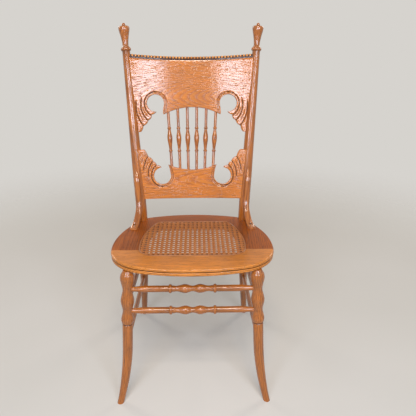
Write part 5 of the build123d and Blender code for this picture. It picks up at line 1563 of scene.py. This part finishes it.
screw_length = SCREW_SEAT - SEAT_TOP + SCREW_BITE
fasteners("brace_screws_slotted", "brace_screws", screw_place,
          slotted(SCREW_HEAD, SCREW_HEIGHT, SCREW_SHANK, screw_length, UP, SCREW_SLOT))
bend_middle = knee + unit(post_up + post_down) * (KNEE_RADIUS / cos(knee_half) - KNEE_RADIUS)
bolt_seat = np.array([*bend_middle[:2], BOLT_Z]) - BOLT_WAY * BOLT_SET
fasteners("post_bolts_slotted", "post_bolts", bolt_seat,
          slotted(BOLT_HEAD, BOLT_HEIGHT, BOLT_SHANK, BOLT_SET + BOLT_BITE, -BOLT_WAY, UP))
print("screws and bolts: 2 and 2")

# %% [markdown]
# ## Studio
# The chair stands on a pale seamless floor under two large soft lights in front, one on each
# side, with a lamp above them, two more behind and a weak fill all round. Small lamps would leave hard
# sparks: soft boxes are wide, so the varnish shows long gentle highlights on the turned work. The
# world is pale to the camera only; what lights the chair is a dimmer grey, so the background can be
# bright without washing out the wood.

# %% Floor
FLOOR_RADIUS, FLOOR_SIDES = 8.0, 96     # metres, and corners of the round sheet
angle = np.linspace(0, 2 * np.pi, FLOOR_SIDES, endpoint=False)
floor_points = FLOOR_RADIUS * np.stack([np.cos(angle), np.sin(angle), np.zeros(FLOOR_SIDES)], 1)
floor_mesh = bpy.data.meshes.new("studio_floor")
floor_mesh.from_pydata(floor_points.tolist(), [], [range(FLOOR_SIDES)])
floor = bpy.data.objects.new("studio_floor", floor_mesh)
bpy.context.scene.collection.objects.link(floor)
print("floor radius:", FLOOR_RADIUS, "m")

# %% Studio paper
FADE = (1.0, 2.6)        # the paper melts into the world's own tone between these distances, in metres
PALE_LIFT = 0.22         # how much paler the camera sees the paper than it lights the chair


def seen_by_camera(tree):
    """1 for rays from the camera, also by way of a mirror or a clear piece, and 0 for light rays."""
    path = add_node(tree, "ShaderNodeLightPath")
    seen = path.outputs["Is Camera Ray"]
    for kind in ("Is Glossy Ray", "Is Transmission Ray"):
        seen = add_node(tree, "ShaderNodeMath", {"operation": "MAXIMUM"},
                        {0: seen, 1: path.outputs[kind]}).outputs[0]
    return seen


# Matt paper: an even pale tone with faint clouds of 0.8 m and hardly a highlight
paper, tree, shader = new_material("pale_studio_paper")
place = add_node(tree, "ShaderNodeTexCoord").outputs["Object"]
mottle = add_node(tree, "ShaderNodeTexNoise", None,
                  {"Vector": place, "Scale": scale_of(800)[0], "Detail": 2.0})
tint = add_node(tree, "ShaderNodeValToRGB", None, {"Fac": mottle.outputs["Fac"]},
                ((0.3, "c0bdb8"), (0.7, "c5c2be"))).outputs["Color"]
far = add_node(tree, "ShaderNodeVectorMath", {"operation": "LENGTH"}, {0: place})
fade = add_node(tree, "ShaderNodeMapRange", {"interpolation_type": "SMOOTHSTEP"},
                {"Value": far.outputs["Value"], "From Min": FADE[0], "From Max": FADE[1]})
lift = add_node(tree, "ShaderNodeMath", {"operation": "MULTIPLY"}, {0: seen_by_camera(tree), 1: PALE_LIFT})
fill_inputs(tree, shader, {"Base Color": tint, "Roughness": 0.8,
                           "Emission Color": tint, "Emission Strength": lift.outputs[0]})
clear = add_node(tree, "ShaderNodeBsdfTransparent")
blend = add_node(tree, "ShaderNodeMixShader", None,
                 {0: fade.outputs[0], 1: shader.outputs[0], 2: clear.outputs[0]})
fill_inputs(tree, tree.nodes["Material Output"], {"Surface": blend.outputs[0]})
floor_mesh.materials.append(paper)
print("paper fades out between", FADE, "m")

# %% World
FILL_TONE, FILL_STRENGTH, BACKGROUND_TONE = "f2efe9", 0.18, "d6d3ce"
world = bpy.data.worlds.new("studio_world")
bpy.context.scene.world = world
world.use_nodes = True
tree = world.node_tree
tree.nodes.clear()
dim = add_node(tree, "ShaderNodeBackground", None, {"Color": linear(FILL_TONE), "Strength": FILL_STRENGTH})
bright = add_node(tree, "ShaderNodeBackground", None, {"Color": linear(BACKGROUND_TONE), "Strength": 1.0})
choice = add_node(tree, "ShaderNodeMixShader", None,
                  {0: seen_by_camera(tree), 1: dim.outputs[0], 2: bright.outputs[0]})
add_node(tree, "ShaderNodeOutputWorld", None, {"Surface": choice.outputs[0]})
print("world fill:", FILL_STRENGTH)

# %% Lamps
DAYLIGHT, WARM = "d9e6f7", "fff4e6"
# Place and target in metres, width and height in metres, power in watts, colour
lamps = (
    ("soft_box_left", (-0.95, -2.4, 1.72), (0.0, 0.1, 0.75), (0.7, 0.85), 31.0, DAYLIGHT),
    ("soft_box_right", (0.95, -2.4, 1.72), (0.0, 0.1, 0.75), (0.7, 0.85), 31.0, DAYLIGHT),
    ("front_top", (0.0, -2.0, 2.9), (0.0, 0.0, 0.5), (1.0, 0.8), 58.0, WARM),
    ("rear_left", (-2.2, 2.0, 2.0), (0.0, 0.1, 0.6), (0.9, 0.9), 22.0, WARM),
    ("rear_right", (2.2, 2.0, 2.0), (0.0, 0.1, 0.6), (0.9, 0.9), 22.0, WARM),
)
for name, spot, target, size, watts, code in lamps:
    light = bpy.data.lights.new(name, "AREA")
    light.shape = "RECTANGLE"
    light.size, light.size_y = size
    light.energy = watts
    light.color = linear(code)[:3]
    lamp = bpy.data.objects.new(name, light)
    lamp.location = spot
    lamp.rotation_euler = (Vector(target) - Vector(spot)).to_track_quat("-Z", "Y").to_euler()
    bpy.context.scene.collection.objects.link(lamp)
print("lamps:", len(lamps))

# %% [markdown]
# ## Camera
# The camera stands where the photograph seems to be taken from: a little above the back's top, in
# front of the chair and looking down at it. It could be placed by eye, but that brings the outline
# only close. So its place, tilt and lens were fitted to the photograph, and details can be compared
# one to one. The Standard view shows colours as written.

# %% Place the camera
CAMERA_PLACE = (0.0146, -1.4544, 1.0787)
CAMERA_PITCH, CAMERA_YAW = 20.72, 1.32
SENSOR_WIDTH, FOCAL_LENGTH = 36.0, 43.39
view = bpy.data.cameras.new("photo_camera")
view.sensor_width, view.lens = SENSOR_WIDTH, FOCAL_LENGTH
camera = bpy.data.objects.new("photo_camera", view)
camera.location = CAMERA_PLACE
camera.rotation_euler = (radians(90 - CAMERA_PITCH), 0.0, radians(-CAMERA_YAW))
bpy.context.scene.collection.objects.link(camera)
bpy.context.scene.camera = camera
bpy.context.scene.view_settings.view_transform = "Standard"
print("camera at", CAMERA_PLACE)
